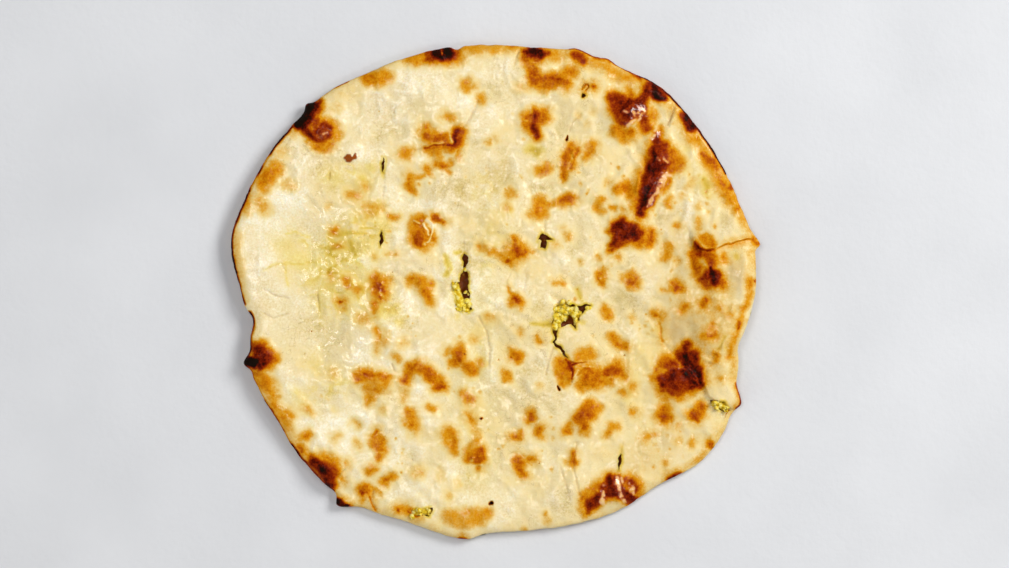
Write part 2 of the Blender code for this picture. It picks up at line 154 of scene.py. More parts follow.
def rim_radius(degrees):
    """Distance from the middle to the outline: a closed curve through the radii, with its features."""
    count = len(RIM_RADII)
    place = np.mod(degrees, 360.0) * count / 360.0
    first = np.floor(place).astype(int)
    t = place - first
    radii = np.array(RIM_RADII, dtype=float)
    before, here, after, later = (radii[(first + k) % count] for k in (-1, 0, 1, 2))
    curve = here + 0.5 * t * (
        after - before
        + t * (2 * before - 5 * here + 4 * after - later)
        + t * t * (3 * (here - after) + later - before)
    )
    for angle, width_before, width_after, reach in RIM_FEATURES.values():
        away = np.mod(degrees - angle + 180.0, 360.0) - 180.0
        width = np.where(away < 0.0, width_before, width_after)
        curve = curve + reach * np.exp(-(away / width) ** 2)
    along = np.radians(degrees) * ABOUT_RADIUS
    coarse, fine = (lumps(name, along, 0.0 * along) for name in ("rim coarse", "rim fine"))
    return curve + RIM_RAGGED * (coarse + fine - RIM_TRIM)


def loop_at(inset, count=RIM_POINTS):
    """The outline, or a line inside it, as one row of points at equal angles."""
    degrees = np.arange(count) * 360.0 / count
    turn = np.radians(degrees)
    radius = rim_radius(degrees) - inset
    return np.column_stack([radius * np.cos(turn), radius * np.sin(turn)])


def rim_distance(x, y):
    """How far a place lies inside the outline, along its own ray."""
    return rim_radius(np.degrees(np.arctan2(y, x))) - np.hypot(x, y)


outline = loop_at(0.0)
# The place that the part has over its origin: the middle of the box round its outline.
cad_middle = np.array([-0.098, -0.540])
print("outline", (outline.max(axis=0) - outline.min(axis=0)).round(1), "mm")

# %% [markdown]
# ## Form of the bread
# The form is the same as that of the part: thin dough, broad waves, blisters, a right side that curls
# up and rolls over, and folds where the dough lies over itself. It is one height for each place in
# plan, which is why a naan can be made from functions and needs no sculpting.

# %% Sizes of the form
LOWER_DOUGH = 2.8
POCKET = 3.0
UPPER_DOUGH = 2.6
THICKNESS = LOWER_DOUGH + POCKET + UPPER_DOUGH
EDGE_MIDDLE = 3.2
TOP_ROUND = 7.0
UNDER_ROUND = 4.0
EDGE_THINNING = 1.8
THINNING_WIDTH = 26.0
CURL_HEIGHT = 10.9
CURL_FAR_Y, CURL_FAR_FADE = 48.0, 36.0
CURL_NEAR_Y, CURL_NEAR_FADE = -75.0, 60.0
FOOT_Y, FOOT_X = (-18.0, -50.0), (84.0, 109.0)
CREST_Y, CREST_X = (-8.0, -46.0), (134.0, 122.0)
LIP_DROOP, LIP_WIDTH = 4.0, 9.0
LEFT_LIFT, LEFT_FROM_X, LEFT_TO_X = 4.0, -92.0, -140.0
RIM_LIFT, RIM_LIFT_WIDTH = 1.6, 40.0

# Broad waves: wavelength, direction in degrees, start in degrees, height.
WAVES = [
    (74, 20, 40, 0.75),
    (53, 105, 200, 0.6),
    (39, 64, 110, 0.45),
    (33, 150, 300, 0.35),
]
# Blisters: place x and y, long and short radius, turn in degrees, height.
BLISTERS = [
    (72, 97, 16, 14, 0, 3),
    (85, 66, 27, 12, 74, 3.4),
    (71, 31, 14, 10, 20, 2.2),
    (-98, 91, 17, 10, -50, 2.4),
    (20, 91, 13, 10, 100, 1.8),
    (101, -44, 18, 16, 30, 2.4),
    (64, -108, 20, 12, 20, 3),
    (48, -67, 12, 9, 70, 1.8),
    (-39, 32, 11, 9, 110, 1.8),
    (-62, 2, 11, 8, 80, 1.6),
    (-38, 0, 12, 8, 110, 1.4),
    (10, 21, 12, 9, 20, 1.5),
    (-66, -47, 13, 9, -20, 1.7),
    (-37, -44, 15, 8, -35, 1.5),
    (-17, -37, 12, 9, -40, 1.7),
    (-10, -88, 11, 8, 80, 1.6),
    (49, -43, 21, 11, 10, 2.6),
    (115, 13, 16, 10, 110, 2.2),
    (-29, 79, 14, 11, 0, 1.6),
    (-126, -35, 11, 9, 60, 2),
    (-93, -96, 15, 9, -40, 2),
    (84, 109, 10, 7, -30, 1.6),
    (-29, 127, 9, 6, 0, 1.6),
    (20, 129, 9, 6, -20, 1.4),
]
# Folds, where the dough on the left of a line of points lies over the dough on its right.
FOLD_LINES = {
    "right side": [(107, 26.5), (108, 23.5), (113, 22), (119, 23.3), (126, 25.5), (133, 27.5), (142, 29)],
    "end of the curled side": [(112, -50), (115, -57), (121, -60.5), (128, -64), (134, -67)],
    "burnt flap": [(-88, -111), (-87, -103), (-82, -97)],
}
FOLD_STEP = 2.6
FOLD_FACE = 1.1
FOLD_REACH, FOLD_END = 24.0, 12.0
# Share of the step by which the dough beside a fold is pressed down.
FOLD_PRESSED = 0.35
BLISTER_SHAPE = 1.5
FAR = 1e9
print("flat dough is", round(THICKNESS, 1), "mm thick, with", len(BLISTERS), "blisters on it")

# %% [markdown]
# Each function below gives the height of one thing, for many places at once. A fold is a step beside a
# line of points, and the curl climbs from its foot to its crest and droops outside it.

# %% Functions of the form
def hump(x, y, blister):
    """A round bump of height 1 on an ellipse, which meets the dough without an edge."""
    middle_x, middle_y, long_radius, short_radius, turn, _ = blister
    c, s = np.cos(np.radians(turn)), np.sin(np.radians(turn))
    along = ((x - middle_x) * c + (y - middle_y) * s) / long_radius
    across = ((y - middle_y) * c - (x - middle_x) * s) / short_radius
    return np.clip(1.0 - along**2 - across**2, 0.0, 1.0) ** BLISTER_SHAPE


def side_of_line(x, y, line):
    """Distance from a line of points, positive on its left, and how far past its ends a place is."""
    nearest = np.full_like(x, FAR, dtype=float)
    side = np.zeros_like(nearest)
    past = np.zeros_like(nearest)
    last = len(line) - 2
    for k in range(len(line) - 1):
        (ax, ay), (bx, by) = line[k], line[k + 1]
        length = np.hypot(bx - ax, by - ay)
        ux, uy = (bx - ax) / length, (by - ay) / length
        along = (x - ax) * ux + (y - ay) * uy
        held = np.clip(along, 0.0, length)
        away = np.hypot(x - ax - held * ux, y - ay - held * uy)
        closer = away < nearest
        left = np.sign((y - ay) * ux - (x - ax) * uy)
        beyond = np.zeros_like(nearest)
        if k == 0:
            beyond = np.maximum(beyond, -along)
        if k == last:
            beyond = np.maximum(beyond, along - length)
        side = np.where(closer, left * away, side)
        past = np.where(closer, beyond, past)
        nearest = np.where(closer, away, nearest)
    return side, past


def folds(x, y):
    """Height of the dough that lies over its neighbour at a fold, and the hollow under its edge."""
    height = np.zeros_like(x, dtype=float)
    for line in FOLD_LINES.values():
        side, past = side_of_line(x, y, line)
        step = smooth(side / FOLD_FACE + 0.5) - FOLD_PRESSED
        fade = between(np.abs(side), (FOLD_REACH, 0.0)) * between(past, (FOLD_END, 0.0))
        height += FOLD_STEP * step * fade
    return height


def waves(x, y):
    """Sum of the broad waves."""
    height = np.zeros_like(x, dtype=float)
    for length, direction, start, tall in WAVES:
        turn = np.radians(direction)
        along = x * np.cos(turn) + y * np.sin(turn)
        height += tall * np.sin(2.0 * np.pi * along / length + np.radians(start))
    return height


def blisters(x, y):
    """Sum of the blisters."""
    height = np.zeros_like(x, dtype=float)
    for blister in BLISTERS:
        height += blister[5] * hump(x, y, blister)
    return height


def curl(x, y):
    """Rise of the right side to its crest, and the droop of the lip outside it."""
    foot = between(y, FOOT_Y, FOOT_X)
    crest = between(y, CREST_Y, CREST_X)
    ends = smooth((CURL_FAR_Y - y) / CURL_FAR_FADE) * smooth((y - CURL_NEAR_Y) / CURL_NEAR_FADE)
    climb = smooth((x - foot) / (crest - foot))
    return ends * (CURL_HEIGHT * climb - LIP_DROOP * smooth((x - crest) / LIP_WIDTH))


def inset_at(x, y):
    """Distance from the outline, and nothing outside it."""
    return np.maximum(rim_distance(x, y), 0.0)


def lift(x, y):
    """How far the bread stands off the surface it lies on; nothing in the middle."""
    left = LEFT_LIFT * between(x, (LEFT_FROM_X, LEFT_TO_X))
    rim = RIM_LIFT * between(inset_at(x, y), (RIM_LIFT_WIDTH, 0.0))
    return curl(x, y) + left + rim


def edge_round(inset, width):
    """Quarter of an ellipse: 0 at the outline, 1 from the given width inwards."""
    t = np.clip(inset / width, 0.0, 1.0)
    return np.sqrt(1.0 - (1.0 - t) ** 2)


rise = lift(outline[:, 0], outline[:, 1])
print("the rim is lifted by up to", round(float(rise.max()), 1), "mm")

# %% [markdown]
# ## Strokes
# Scorch marks, creases, stains and glossy patches all lie at chosen places and have uneven shapes.
# Each could be painted on an image, but here each is a stroke: a few places with a radius, joined like
# beads on a thread. The edge of a stroke is made ragged by shifting the places a little at random.

# %% Strokes
HALO, HALO_REACH = 0.33, 5.5
SHORTEST_RUN = 1e-9
PATTERNS |= {
    "stroke edge coarse": (1, 4, 4, 3),
    "stroke edge fine": (0.35, 1.6, 1.6, 5),
}


def shifted(x, y, share=1.0):
    """Places moved about at random, so that what is drawn on them gets ragged edges."""
    coarse = nudge("stroke edge coarse", x, y)
    fine = nudge("stroke edge fine", x, y)
    return x + share * (coarse[0] + fine[0]), y + share * (coarse[1] + fine[1])


def outside_stroke(x, y, beads):
    """Distance outside a stroke; it is negative inside."""
    found = np.full_like(x, FAR, dtype=float)
    if len(beads) == 1:
        beads = [beads[0], beads[0]]
    for (ax, ay, ar), (bx, by, br) in zip(beads[:-1], beads[1:]):
        run_x, run_y = bx - ax, by - ay
        length = max(run_x**2 + run_y**2, SHORTEST_RUN)
        t = np.clip(((x - ax) * run_x + (y - ay) * run_y) / length, 0.0, 1.0)
        away = np.hypot(x - ax - t * run_x, y - ay - t * run_y) - (ar + t * (br - ar))
        found = np.minimum(found, away)
    return found


def paint(x, y, strokes, spread=1.0, halo=0.0, swell=0.5):
    """Highest level of all strokes at each place. A stroke is its level, its softness and its beads."""
    found = np.zeros_like(x, dtype=float)
    for level, soft, beads in strokes:
        places = np.array(beads, dtype=float)
        reach = places[:, 2].max() + spread * soft + (HALO_REACH if halo else 0.0)
        low, high = places[:, :2].min(axis=0) - reach, places[:, :2].max(axis=0) + reach
        near = (x > low[0]) & (x < high[0]) & (y > low[1]) & (y < high[1])
        away = outside_stroke(x[near], y[near], beads)
        found[near] = np.maximum(found[near], level * smooth(swell - away / (spread * soft)))
        if halo:
            found[near] = np.maximum(found[near], halo * level * between(away, (HALO_REACH, 0.0)))
    return found


example = paint(np.arange(5.0), np.zeros(5), [(1.0, 2.0, [(0, 0, 1)])])
print("levels 0 to 4 mm from the middle of a bead:", example.round(2))

# %% [markdown]
# ## Scorch marks
# Dough browns where a blister stood closest to the heat: golden first, then orange-brown, then a
# dark red-brown, and black where it burnt. One number does for all of that, from 0, pale, to 1, black.
# A row gives the level, how soft the edge is, and the beads.

# %% Scorch marks at the upper left
TOP_LEFT_MARKS = [
    (1.05, 2, [(-99, 101.5, 2), (-103, 95.5, 3.2), (-106, 91, 2.6)]),
    (0.88, 3, [(-97, 101, 2.5), (-101, 96, 4.5), (-104, 90, 3.6)]),
    (0.78, 3, [(-103, 87.5, 2.6), (-98.5, 83, 2), (-94, 81, 1.2)]),
    (1, 0.9, [(-103.5, 101.8, 0.6), (-100, 102, 1)]), (0.74, 3, [(-93, 85.5, 5.6)]),
    (0.68, 3, [(-97, 91, 3.4)]), (0.45, 3.5, [(-92, 85, 8)]), (0.66, 3, [(-97, 98.5, 4)]),
    (0.45, 3, [(-98, 99, 6)]),
    (0.48, 2.5, [(-101, 80.5, 1.5), (-96, 77.5, 2), (-92, 75.5, 1.5), (-88, 79, 1.5)]),
    (0.56, 3, [(-92.5, 91, 2), (-96, 90, 2)]),
    (0.45, 4, [(-119.5, 66, 4), (-124, 61, 4.5), (-125, 57, 3)]), (0.54, 3, [(-127, 61, 1.5)]),
    (0.22, 5, [(-116, 75, 4)]), (0.25, 4, [(-109.5, 85.5, 2)]),
    (0.25, 4, [(-114, 57, 1.8), (-109.5, 56.5, 1.5)]), (0.4, 4, [(-134, 50, 2.5), (-135.5, 44, 2)]),
    (0.32, 4, [(-127.5, 48.5, 2), (-125, 45, 2.5)]),
    (0.52, 4, [(-70, 114.5, 2.5), (-64, 115.5, 3.5), (-58.5, 116, 2.5)]), (0.6, 3, [(-67.5, 115.5, 1.5)]),
    (0.15, 8, [(-92, 107, 3), (-78, 108, 4)]), (0.2, 5, [(-86.5, 99, 3)]),
    (0.3, 2.5, [(-79, 52, 1.8), (-74.5, 51.5, 1.2)]), (0.25, 3, [(-70, 56, 1.5)]),
    (0.2, 3, [(-90, 46, 1.5)]), (0.25, 4, [(-68, 45, 3), (-62, 44, 2)]),
]
print(len(TOP_LEFT_MARKS), "marks at the upper left")

# %% Scorch marks at the top
TOP_MARKS = [
    (0.95, 3, [(-31, 128, 4), (-26, 128, 4)]), (0.66, 3, [(-34, 127.5, 4.5), (-23, 128, 4)]),
    (0.4, 4, [(-38, 127, 3), (-20, 127, 3)]),
    (0.45, 3.5, [(-48, 125.5, 2), (-43, 125, 3.2), (-40, 126, 3)]),
    (0.36, 4, [(-20, 131, 2.5), (-8, 131.5, 2), (4, 132, 2.5), (12, 132, 3)]),
    (0.48, 3, [(6, 132, 1.5), (12, 132.5, 2)]),
    (0.97, 2.5, [(15.5, 129, 1.2), (19, 129.5, 3.2), (24, 128.5, 2.6)]),
    (0.66, 3, [(17, 127, 3), (23, 128, 4), (28, 129, 2)]), (0.36, 4, [(31, 128, 3.5), (27, 126, 2)]),
    (0.55, 3, [(16, 125, 2.5), (20, 120, 3), (22, 115, 4), (25, 111, 3)]),
    (0.55, 3, [(25, 112, 4), (31, 114.5, 4), (37, 113, 3.5)]), (0.45, 3, [(36, 117, 2.5), (41, 118, 3)]),
    (0.5, 2.5, [(38, 110, 2)]), (0.64, 2.5, [(20, 122, 1), (21, 117, 1.5)]),
    (0.66, 2.5, [(30, 115, 1.8), (35, 114, 1.8)]), (0.2, 4, [(13, 110, 2.5), (18, 110, 2)]),
    (0.45, 3, [(-16, 111, 3)]), (0.35, 2.5, [(-12, 110.5, 1.5)]), (0.45, 3, [(-8, 104.5, 2.2)]),
    (0.42, 2.5, [(-27, 94, 1.5), (-23.5, 93, 1.8)]),
    (0.52, 2.5, [(-38, 84, 2.5), (-33, 83, 2.2), (-27, 81.5, 1.2)]),
    (0.56, 2.5, [(-33, 82.3, 2.2), (-27, 82.3, 2.2)]), (0.42, 3, [(-38, 86, 3), (-35, 84, 2)]),
    (0.43, 3, [(-35, 81.5, 2.5), (-26, 81.5, 2.5)]),
    (0.8, 2, [(-20.5, 87, 1.5), (-22, 82, 1.6), (-22.5, 79, 1.2)]),
    (0.64, 2.5, [(-18.5, 86, 2), (-21, 80, 2.8), (-24, 78, 2)]),
    (0.74, 1.2, [(-38, 77.5, 0.5), (-33, 78.3, 0.6), (-27, 78.5, 0.8), (-22, 78, 1)]),
    (0.55, 2.5, [(-37.5, 77, 1.2), (-30, 77.5, 1.8), (-24, 77, 2)]),
    (0.43, 2.5, [(-33, 75, 2.2), (-30, 72, 1.5)]), (0.43, 2.5, [(-20, 76, 1.3), (-20, 72, 1.5)]),
    (0.58, 2.5, [(-32, 69, 1.3), (-29, 68, 2.2), (-27, 68, 1.5)]), (0.48, 2.5, [(-24, 69.5, 1.3)]),
    (0.44, 1.5, [(-27, 66, 0.8), (-25, 64, 0.8)]), (0.42, 3, [(-48, 74, 3)]), (0.34, 2, [(-44.5, 76, 1)]),
    (0.46, 2.5, [(-36, 66, 1.8), (-35.5, 63, 1.2)]),
    (0.48, 2, [(-46.5, 62, 1.3), (-47, 58, 1.6), (-45.5, 55, 1.5), (-43.5, 53.5, 1.4)]),
    (0.44, 2, [(-45, 62.5, 1.2), (-41.5, 61.5, 0.8), (-38, 62.5, 0.8)]),
    (0.42, 2.5, [(-45, 61, 2.6), (-46, 56, 2.4)]), (0.38, 1.5, [(-41, 57, 0.8)]),
    (0.42, 2, [(-4, 80.5, 1.3)]), (0.2, 3, [(0, 82, 2)]), (0.47, 3, [(17.5, 94, 3.5), (16.5, 89, 2.5)]),
    (0.47, 3, [(26, 96, 3), (28, 92.5, 2)]), (0.55, 3, [(20, 90, 4), (22, 84, 2.5)]),
    (0.7, 2.5, [(22, 96, 2.2), (20.5, 90, 2.5), (22, 84, 2)]), (0.6, 3, [(19, 93, 3.5), (25, 93, 3)]),
    (0.8, 2, [(21.5, 97, 1.2), (20.5, 91, 1.5), (22, 86, 1.3)]), (0.4, 3, [(9, 53, 2.2), (7, 52, 1.2)]),
    (0.24, 3, [(6, 46, 2)]), (0.48, 3, [(23, 65, 2.2), (28, 66.5, 2.2)]), (0.58, 2, [(25, 65.3, 1.2)]),
    (0.46, 3.5, [(24, 48, 3), (24, 43, 4)]), (0.4, 2.5, [(19.5, 41.5, 1.5)]),
    (0.52, 3, [(35, 48, 1.8), (40, 49.5, 3)]), (0.46, 2.5, [(27, 45, 1.4), (35, 48, 1.2)]),
    (0.6, 2, [(40.5, 49, 1.5)]),
    (0.52, 2.5, [(41, 78, 2), (38.3, 72, 1.8), (37, 66, 1.8), (37.3, 61.5, 1.6)]),
    (0.48, 2, [(44, 77, 1), (43, 72, 1.2), (41, 66, 1)]),
]
print(len(TOP_MARKS), "marks at the top")

# %% Scorch marks at the upper right
TOP_RIGHT_MARKS = [
    (0.74, 3, [(44, 127, 2.4), (47, 124.7, 2.4)]), (0.48, 4, [(45.5, 126, 4)]),
    (0.6, 3, [(55, 126, 1.5), (60, 125.5, 1.5)]), (0.7, 2.5, [(75, 117, 1.3), (78, 115.5, 1.6)]),
    (0.97, 2.5, [(85, 109.5, 2.6), (87.5, 107, 3), (90, 104.5, 2)]),
    (0.84, 3, [(83, 109, 3.8), (88.5, 106.5, 3.8)]), (0.81, 3, [(80.5, 106, 2.5), (79, 101, 2.6)]),
    (0.97, 2.5, [(104, 94.5, 2.6), (107, 90, 2.4)]), (0.8, 3, [(102.5, 95, 3.4), (106, 89.5, 3.2)]),
    (0.52, 3.5, [(112, 74, 2), (116.5, 70, 3), (119, 67, 2)]),
    (0.75, 3, [(65, 103.5, 4), (66, 98, 4.8), (69, 92.5, 3.5)]),
    (0.82, 3, [(72, 96, 4.5), (76, 100, 4), (79, 99, 3)]), (0.9, 2.5, [(73, 101.5, 2.5), (68, 97, 1.8)]),
    (0.69, 3, [(80, 93, 3.5), (82, 88.5, 3), (79, 96, 3)]),
    (0.75, 3, [(67, 102, 4.5), (74, 97, 4.5), (79, 95, 3)]),
    (0.47, 3.5, [(66, 86.5, 3.5), (70, 83.5, 2.8), (73, 85.5, 3)]),
    (0.47, 3, [(84.5, 97, 2.2), (85, 93, 2.5)]), (0.5, 2.5, [(72, 108, 1.6), (74, 104, 1.6)]),
    (0.4, 3, [(71.5, 110.5, 1.2)]),
    (0.87, 3, [(86, 77, 1.6), (85, 69, 3), (82.5, 61, 3.4), (80.5, 53, 3.2), (79, 45, 1.8)]),
    (0.78, 3, [
        (87.5, 84, 2), (87, 79, 3.2), (87, 71.6, 4.8), (86, 64, 5.4), (84, 56, 5), (81.3, 48.5, 3.8),
        (78.5, 42, 1.6),
    ]),
    (0.72, 3, [(91, 77, 2.5), (92, 70, 3), (88, 65, 4), (87, 59, 2.5)]),
    (0.52, 3, [(94, 74, 3.5), (98, 69, 3.8), (95, 66, 2.5)]), (0.52, 2.5, [(93.5, 59, 2.2), (91, 54, 2)]),
    (0.5, 2.5, [(89.5, 88, 1.2), (89, 84, 1.5)]), (0.46, 3.5, [(79, 62, 3), (77, 54, 3), (76, 46, 2.2)]),
    (0.48, 3, [(66, 54.5, 2), (70, 56, 3), (73, 52.5, 2.8)]), (0.26, 3, [(61, 58, 1.8)]),
    (0.46, 2.5, [(53, 79, 1.2), (50.5, 75, 1.8), (48.5, 72, 1.2)]),
    (0.46, 2.5, [(57, 49, 1.8), (54.5, 45, 1.8), (57, 42.5, 1.5)]),
    (0.45, 2, [(61.5, 45, 1), (64, 44.5, 1)]), (0.34, 2.5, [(69.5, 44, 1.4)]),
    (0.42, 2.5, [(94, 50, 1.2), (93, 46.5, 1.6)]), (0.4, 3, [(124.5, 52, 2)]),
    (0.64, 2.5, [(127, 56, 1.6)]), (0.45, 2.5, [(132.5, 46, 1.2), (130, 44, 1)]),
    (0.25, 2.5, [(107, 60, 0.8), (103, 55, 1)]), (0.3, 2.5, [(101, 51, 1.2)]),
    (0.58, 1.8, [(52.8, 110.5, 1.5)]),
    (0.66, 0.8, [
        (46.9, 109.9, 0.2), (48, 111.8, 0.2), (49.8, 111.6, 0.2), (50.2, 109.8, 0.2),
        (48.9, 108.6, 0.2),
    ]),
    (0.38, 1.8, [(53, 108, 0.9)]), (0.2, 3.5, [(45, 95, 1.5)]), (0.18, 3.5, [(50, 90, 1.2)]),
    (0.16, 3.5, [(53, 97, 1.5)]),
]
print(len(TOP_RIGHT_MARKS), "marks at the upper right")

# %% Scorch marks on the left
LEFT_MARKS = [
    (0.84, 3.5, [(-127, -32, 4.2), (-125.5, -36, 5), (-123.5, -37, 3.6)]),
    (0.9, 3, [(-125.5, -33.5, 2.2)]), (1.15, 2.5, [(-136, -38, 2), (-130.5, -39, 3)]),
    (0.93, 3, [(-127, -40, 2.2)]), (0.62, 3.5, [(-127, -32, 5), (-122.5, -37, 4.5)]),
    (0.48, 5, [(-130, -45, 3), (-126, -50, 4), (-122, -53, 3)]), (0.55, 3, [(-122.5, -50.5, 2.2)]),
    (0.45, 3, [(-119, -57, 2), (-119.5, -63, 1.5)]),
    (0.24, 4, [
        (-140, 30, 2.2), (-141, 22, 2.4), (-139.5, 14, 2), (-138, 8, 1.4), (-136.5, 0, 1),
        (-134.5, -6, 0.8),
    ]),
    (0.46, 2.5, [(-87, 32.5, 1.5)]), (0.38, 2.5, [(-87.5, 24.5, 0.9), (-84.5, 24.7, 0.9)]),
    (0.43, 2.5, [(-57, 40.5, 1.1), (-54, 39.5, 1.1)]), (0.3, 2.5, [(-57, 20.5, 0.9), (-54, 20, 0.7)]),
    (0.25, 2.5, [(-65, 18, 1.2)]), (0.5, 2.2, [(-81, 6, 1.4), (-79.5, 4, 1.6)]),
    (0.34, 2.2, [(-77, 2, 0.9), (-73.5, 0.5, 1.2)]), (0.26, 3, [(-88.5, 8, 1.5)]),
    (0.72, 0.9, [(-84.3, -5.4, 0.5), (-83, -5.8, 0.5)]), (0.2, 3, [(-82, -10, 1.5)]),
    (0.53, 3.2, [(-63, 5, 3.8), (-62.5, -2, 3.2)]), (0.62, 2.2, [(-62.5, 3.5, 2.2), (-62, -3, 2)]),
    (0.34, 3.5, [(-57.5, 6, 2.2)]), (0.46, 2.2, [(-65.5, -7, 1.5), (-66, -11, 1)]),
    (0.43, 2.8, [(-65, -22, 1), (-62.5, -24, 1.5)]), (0.28, 4, [(-61.5, -26, 3.5)]),
    (0.24, 3, [(-63.5, -28, 1.2), (-64, -33, 0.8)]), (0.42, 2.8, [(-53.8, -35, 1.3), (-52.5, -37, 1)]),
    (0.24, 4, [(-50, -28, 2.5)]), (0.25, 4, [(-72, -15, 2)]),
    (0.25, 2.5, [(-87.5, -42, 0.9), (-87, -46, 0.8)]),
    (0.53, 3, [(-73.5, -46, 3), (-68, -45.5, 2.8), (-62, -46.5, 2.6), (-59, -47.5, 2.2)]),
    (0.64, 2, [(-71, -44.8, 1.1), (-66, -45.8, 1.4)]), (0.48, 3, [(-67, -51, 3.2), (-64, -52.5, 2.8)]),
    (0.42, 3, [(-67, -56, 2.2), (-69, -61, 1.4)]), (0.48, 2.2, [(-58, -47, 1.6), (-59.5, -51, 1.2)]),
    (0.5, 2.2, [(-113, -65, 1.1), (-111, -67, 1.1)]),
    (0.52, 2.2, [(-105, -79, 0.9), (-103, -78.5, 1.3), (-100.5, -77, 0.8)]),
    (0.28, 3, [(-101, -64.5, 1.6), (-99, -66, 1.4)]), (0.16, 3, [(-87, -63.5, 1.2)]),
    (0.22, 2.5, [(-86, -79.5, 1.3), (-84, -78.5, 0.9)]),
]
print(len(LEFT_MARKS), "marks on the left")

# %% Scorch marks in the middle
MIDDLE_MARKS = [
    (0.52, 3.2, [(-41.5, 36, 4.5), (-41, 29, 4.8), (-38, 25.5, 2.8)]),
    (0.64, 2.8, [(-42, 29.5, 3.2), (-40, 26.5, 2.6)]), (0.7, 2.2, [(-42, 26.8, 1.8)]),
    (0.52, 2.8, [(-35, 31, 2.2), (-35, 27, 2.2)]),
    (0.6, 1.8, [(-34, 39.5, 1), (-31, 39.5, 1.6), (-26.5, 37.3, 0.7)]),
    (0.48, 3.2, [(-45, 5.5, 2.7), (-40, 4.5, 2.8), (-37.5, 0, 2.8), (-36, -6, 1.8)]),
    (0.48, 2.8, [(-36, 4, 2.2)]),
    (0.53, 2.8, [(10, 28, 1.2), (11, 22, 4), (8, 18, 2.6), (15.5, 20.5, 2)]), (0.6, 2.2, [(12, 22, 1.8)]),
    (0.62, 1.8, [(7, 16.5, 1.6)]), (0.46, 2.2, [(3, 20, 1.6), (9, 14.8, 1.3)]),
    (0.4, 2.6, [(-9, 24, 0.6), (-3, 21, 1), (2, 20, 1.6)]), (0.34, 1.4, [(18, 21, 0.8), (21, 20.5, 0.6)]),
    (0.34, 3.5, [(10, 21, 6)]), (0.52, 2.8, [(11, -5, 3.2), (14, -6, 1.8)]),
    (0.66, 2.2, [(10.5, -3.5, 1.6), (11.5, -6, 1.6)]),
    (0.42, 1.4, [(6.5, 2.5, 0.4), (8, 0, 0.8), (9.5, -2, 1.2)]), (0.34, 2.2, [(14, -10, 0.8)]),
    (0.3, 2.8, [(-3.8, -13.5, 1.1), (-1.5, -14, 1)]), (0.27, 2.5, [(13, -21, 0.9), (14, -23.5, 0.7)]),
    (0.43, 2, [(22.7, -24.5, 1), (24, -27, 1)]), (0.24, 2.5, [(23, -25.5, 2.5)]),
    (0.52, 2.8, [(10, -34, 2.2), (13, -36, 2.6)]), (0.6, 2, [(12, -36, 1.6)]),
    (0.68, 1, [(8.5, -36, 0.5)]), (0.38, 2.2, [(32, 4.5, 0.6), (37, 4, 1.3)]),
    (0.36, 3, [(39.5, 28.5, 1.5)]), (0.18, 3, [(33, 25, 1.3)]), (0.18, 3, [(36, 34, 1.3)]),
    (0.5, 2.8, [(-19, -30, 2.2), (-20, -35, 3.8), (-22, -38, 3)]),
    (0.64, 2.5, [(-20, -34.5, 2), (-19, -37, 1.8)]), (0.46, 2.2, [(-26, -33, 1.3)]),
    (0.52, 2.8, [(-16, -41, 2.8), (-12.5, -43, 2.8)]), (0.42, 2.8, [(-9, -39, 1.7)]),
    (0.24, 3, [(-12, -27, 1.7)]), (0.56, 3, [(-48.5, -48, 2.2), (-46, -42.5, 2.8), (-42, -39.5, 2.2)]),
    (0.56, 3, [(-42, -40, 2.2), (-36.5, -44, 3.2), (-31, -49, 3.6), (-29, -51, 2.8)]),
    (0.66, 2.2, [(-42, -39.3, 1.2), (-46.5, -43, 1)]), (0.64, 2, [(-33, -52, 1.5), (-29, -52, 1.8)]),
    (0.5, 2.8, [(5.5, -45, 1.8), (6.5, -47.5, 1.6)]),
    (0.52, 2.8, [(35, -38, 2.6), (37, -42, 4.6), (37.5, -47, 3.8)]),
    (0.8, 1.2, [(38.4, -36.5, 0.3), (40.2, -39, 0.8), (41.6, -42, 1.2), (41.2, -47.5, 0.4)]),
    (0.78, 1, [(41.5, -40.5, 0.8), (45, -39.4, 0.3)]), (0.62, 2.4, [(41.5, -43, 2.2)]),
    (0.72, 0.7, [(41, -38.6, 0.2), (45, -39, 0.2), (49.5, -38.4, 0.1)]),
    (0.44, 3, [(46, -35.5, 3.2), (50.5, -34, 2.6)]),
    (0.5, 3, [(47, -43, 3), (53, -44.5, 4.5), (49, -49, 3.6), (45.5, -51.5, 2.2)]),
    (0.6, 3, [(51, -45, 2), (47.5, -50, 1.8)]), (0.62, 3, [(60, -44, 2.2), (64.5, -43, 3.4)]),
    (0.68, 1.8, [(61, -45, 1.4)]), (0.5, 2.8, [(66, -40.5, 2.6), (68, -45, 2.6)]),
    (0.48, 2.8, [(55, -49.5, 3), (62, -48.5, 1.8)]),
]
print(len(MIDDLE_MARKS), "marks in the middle")

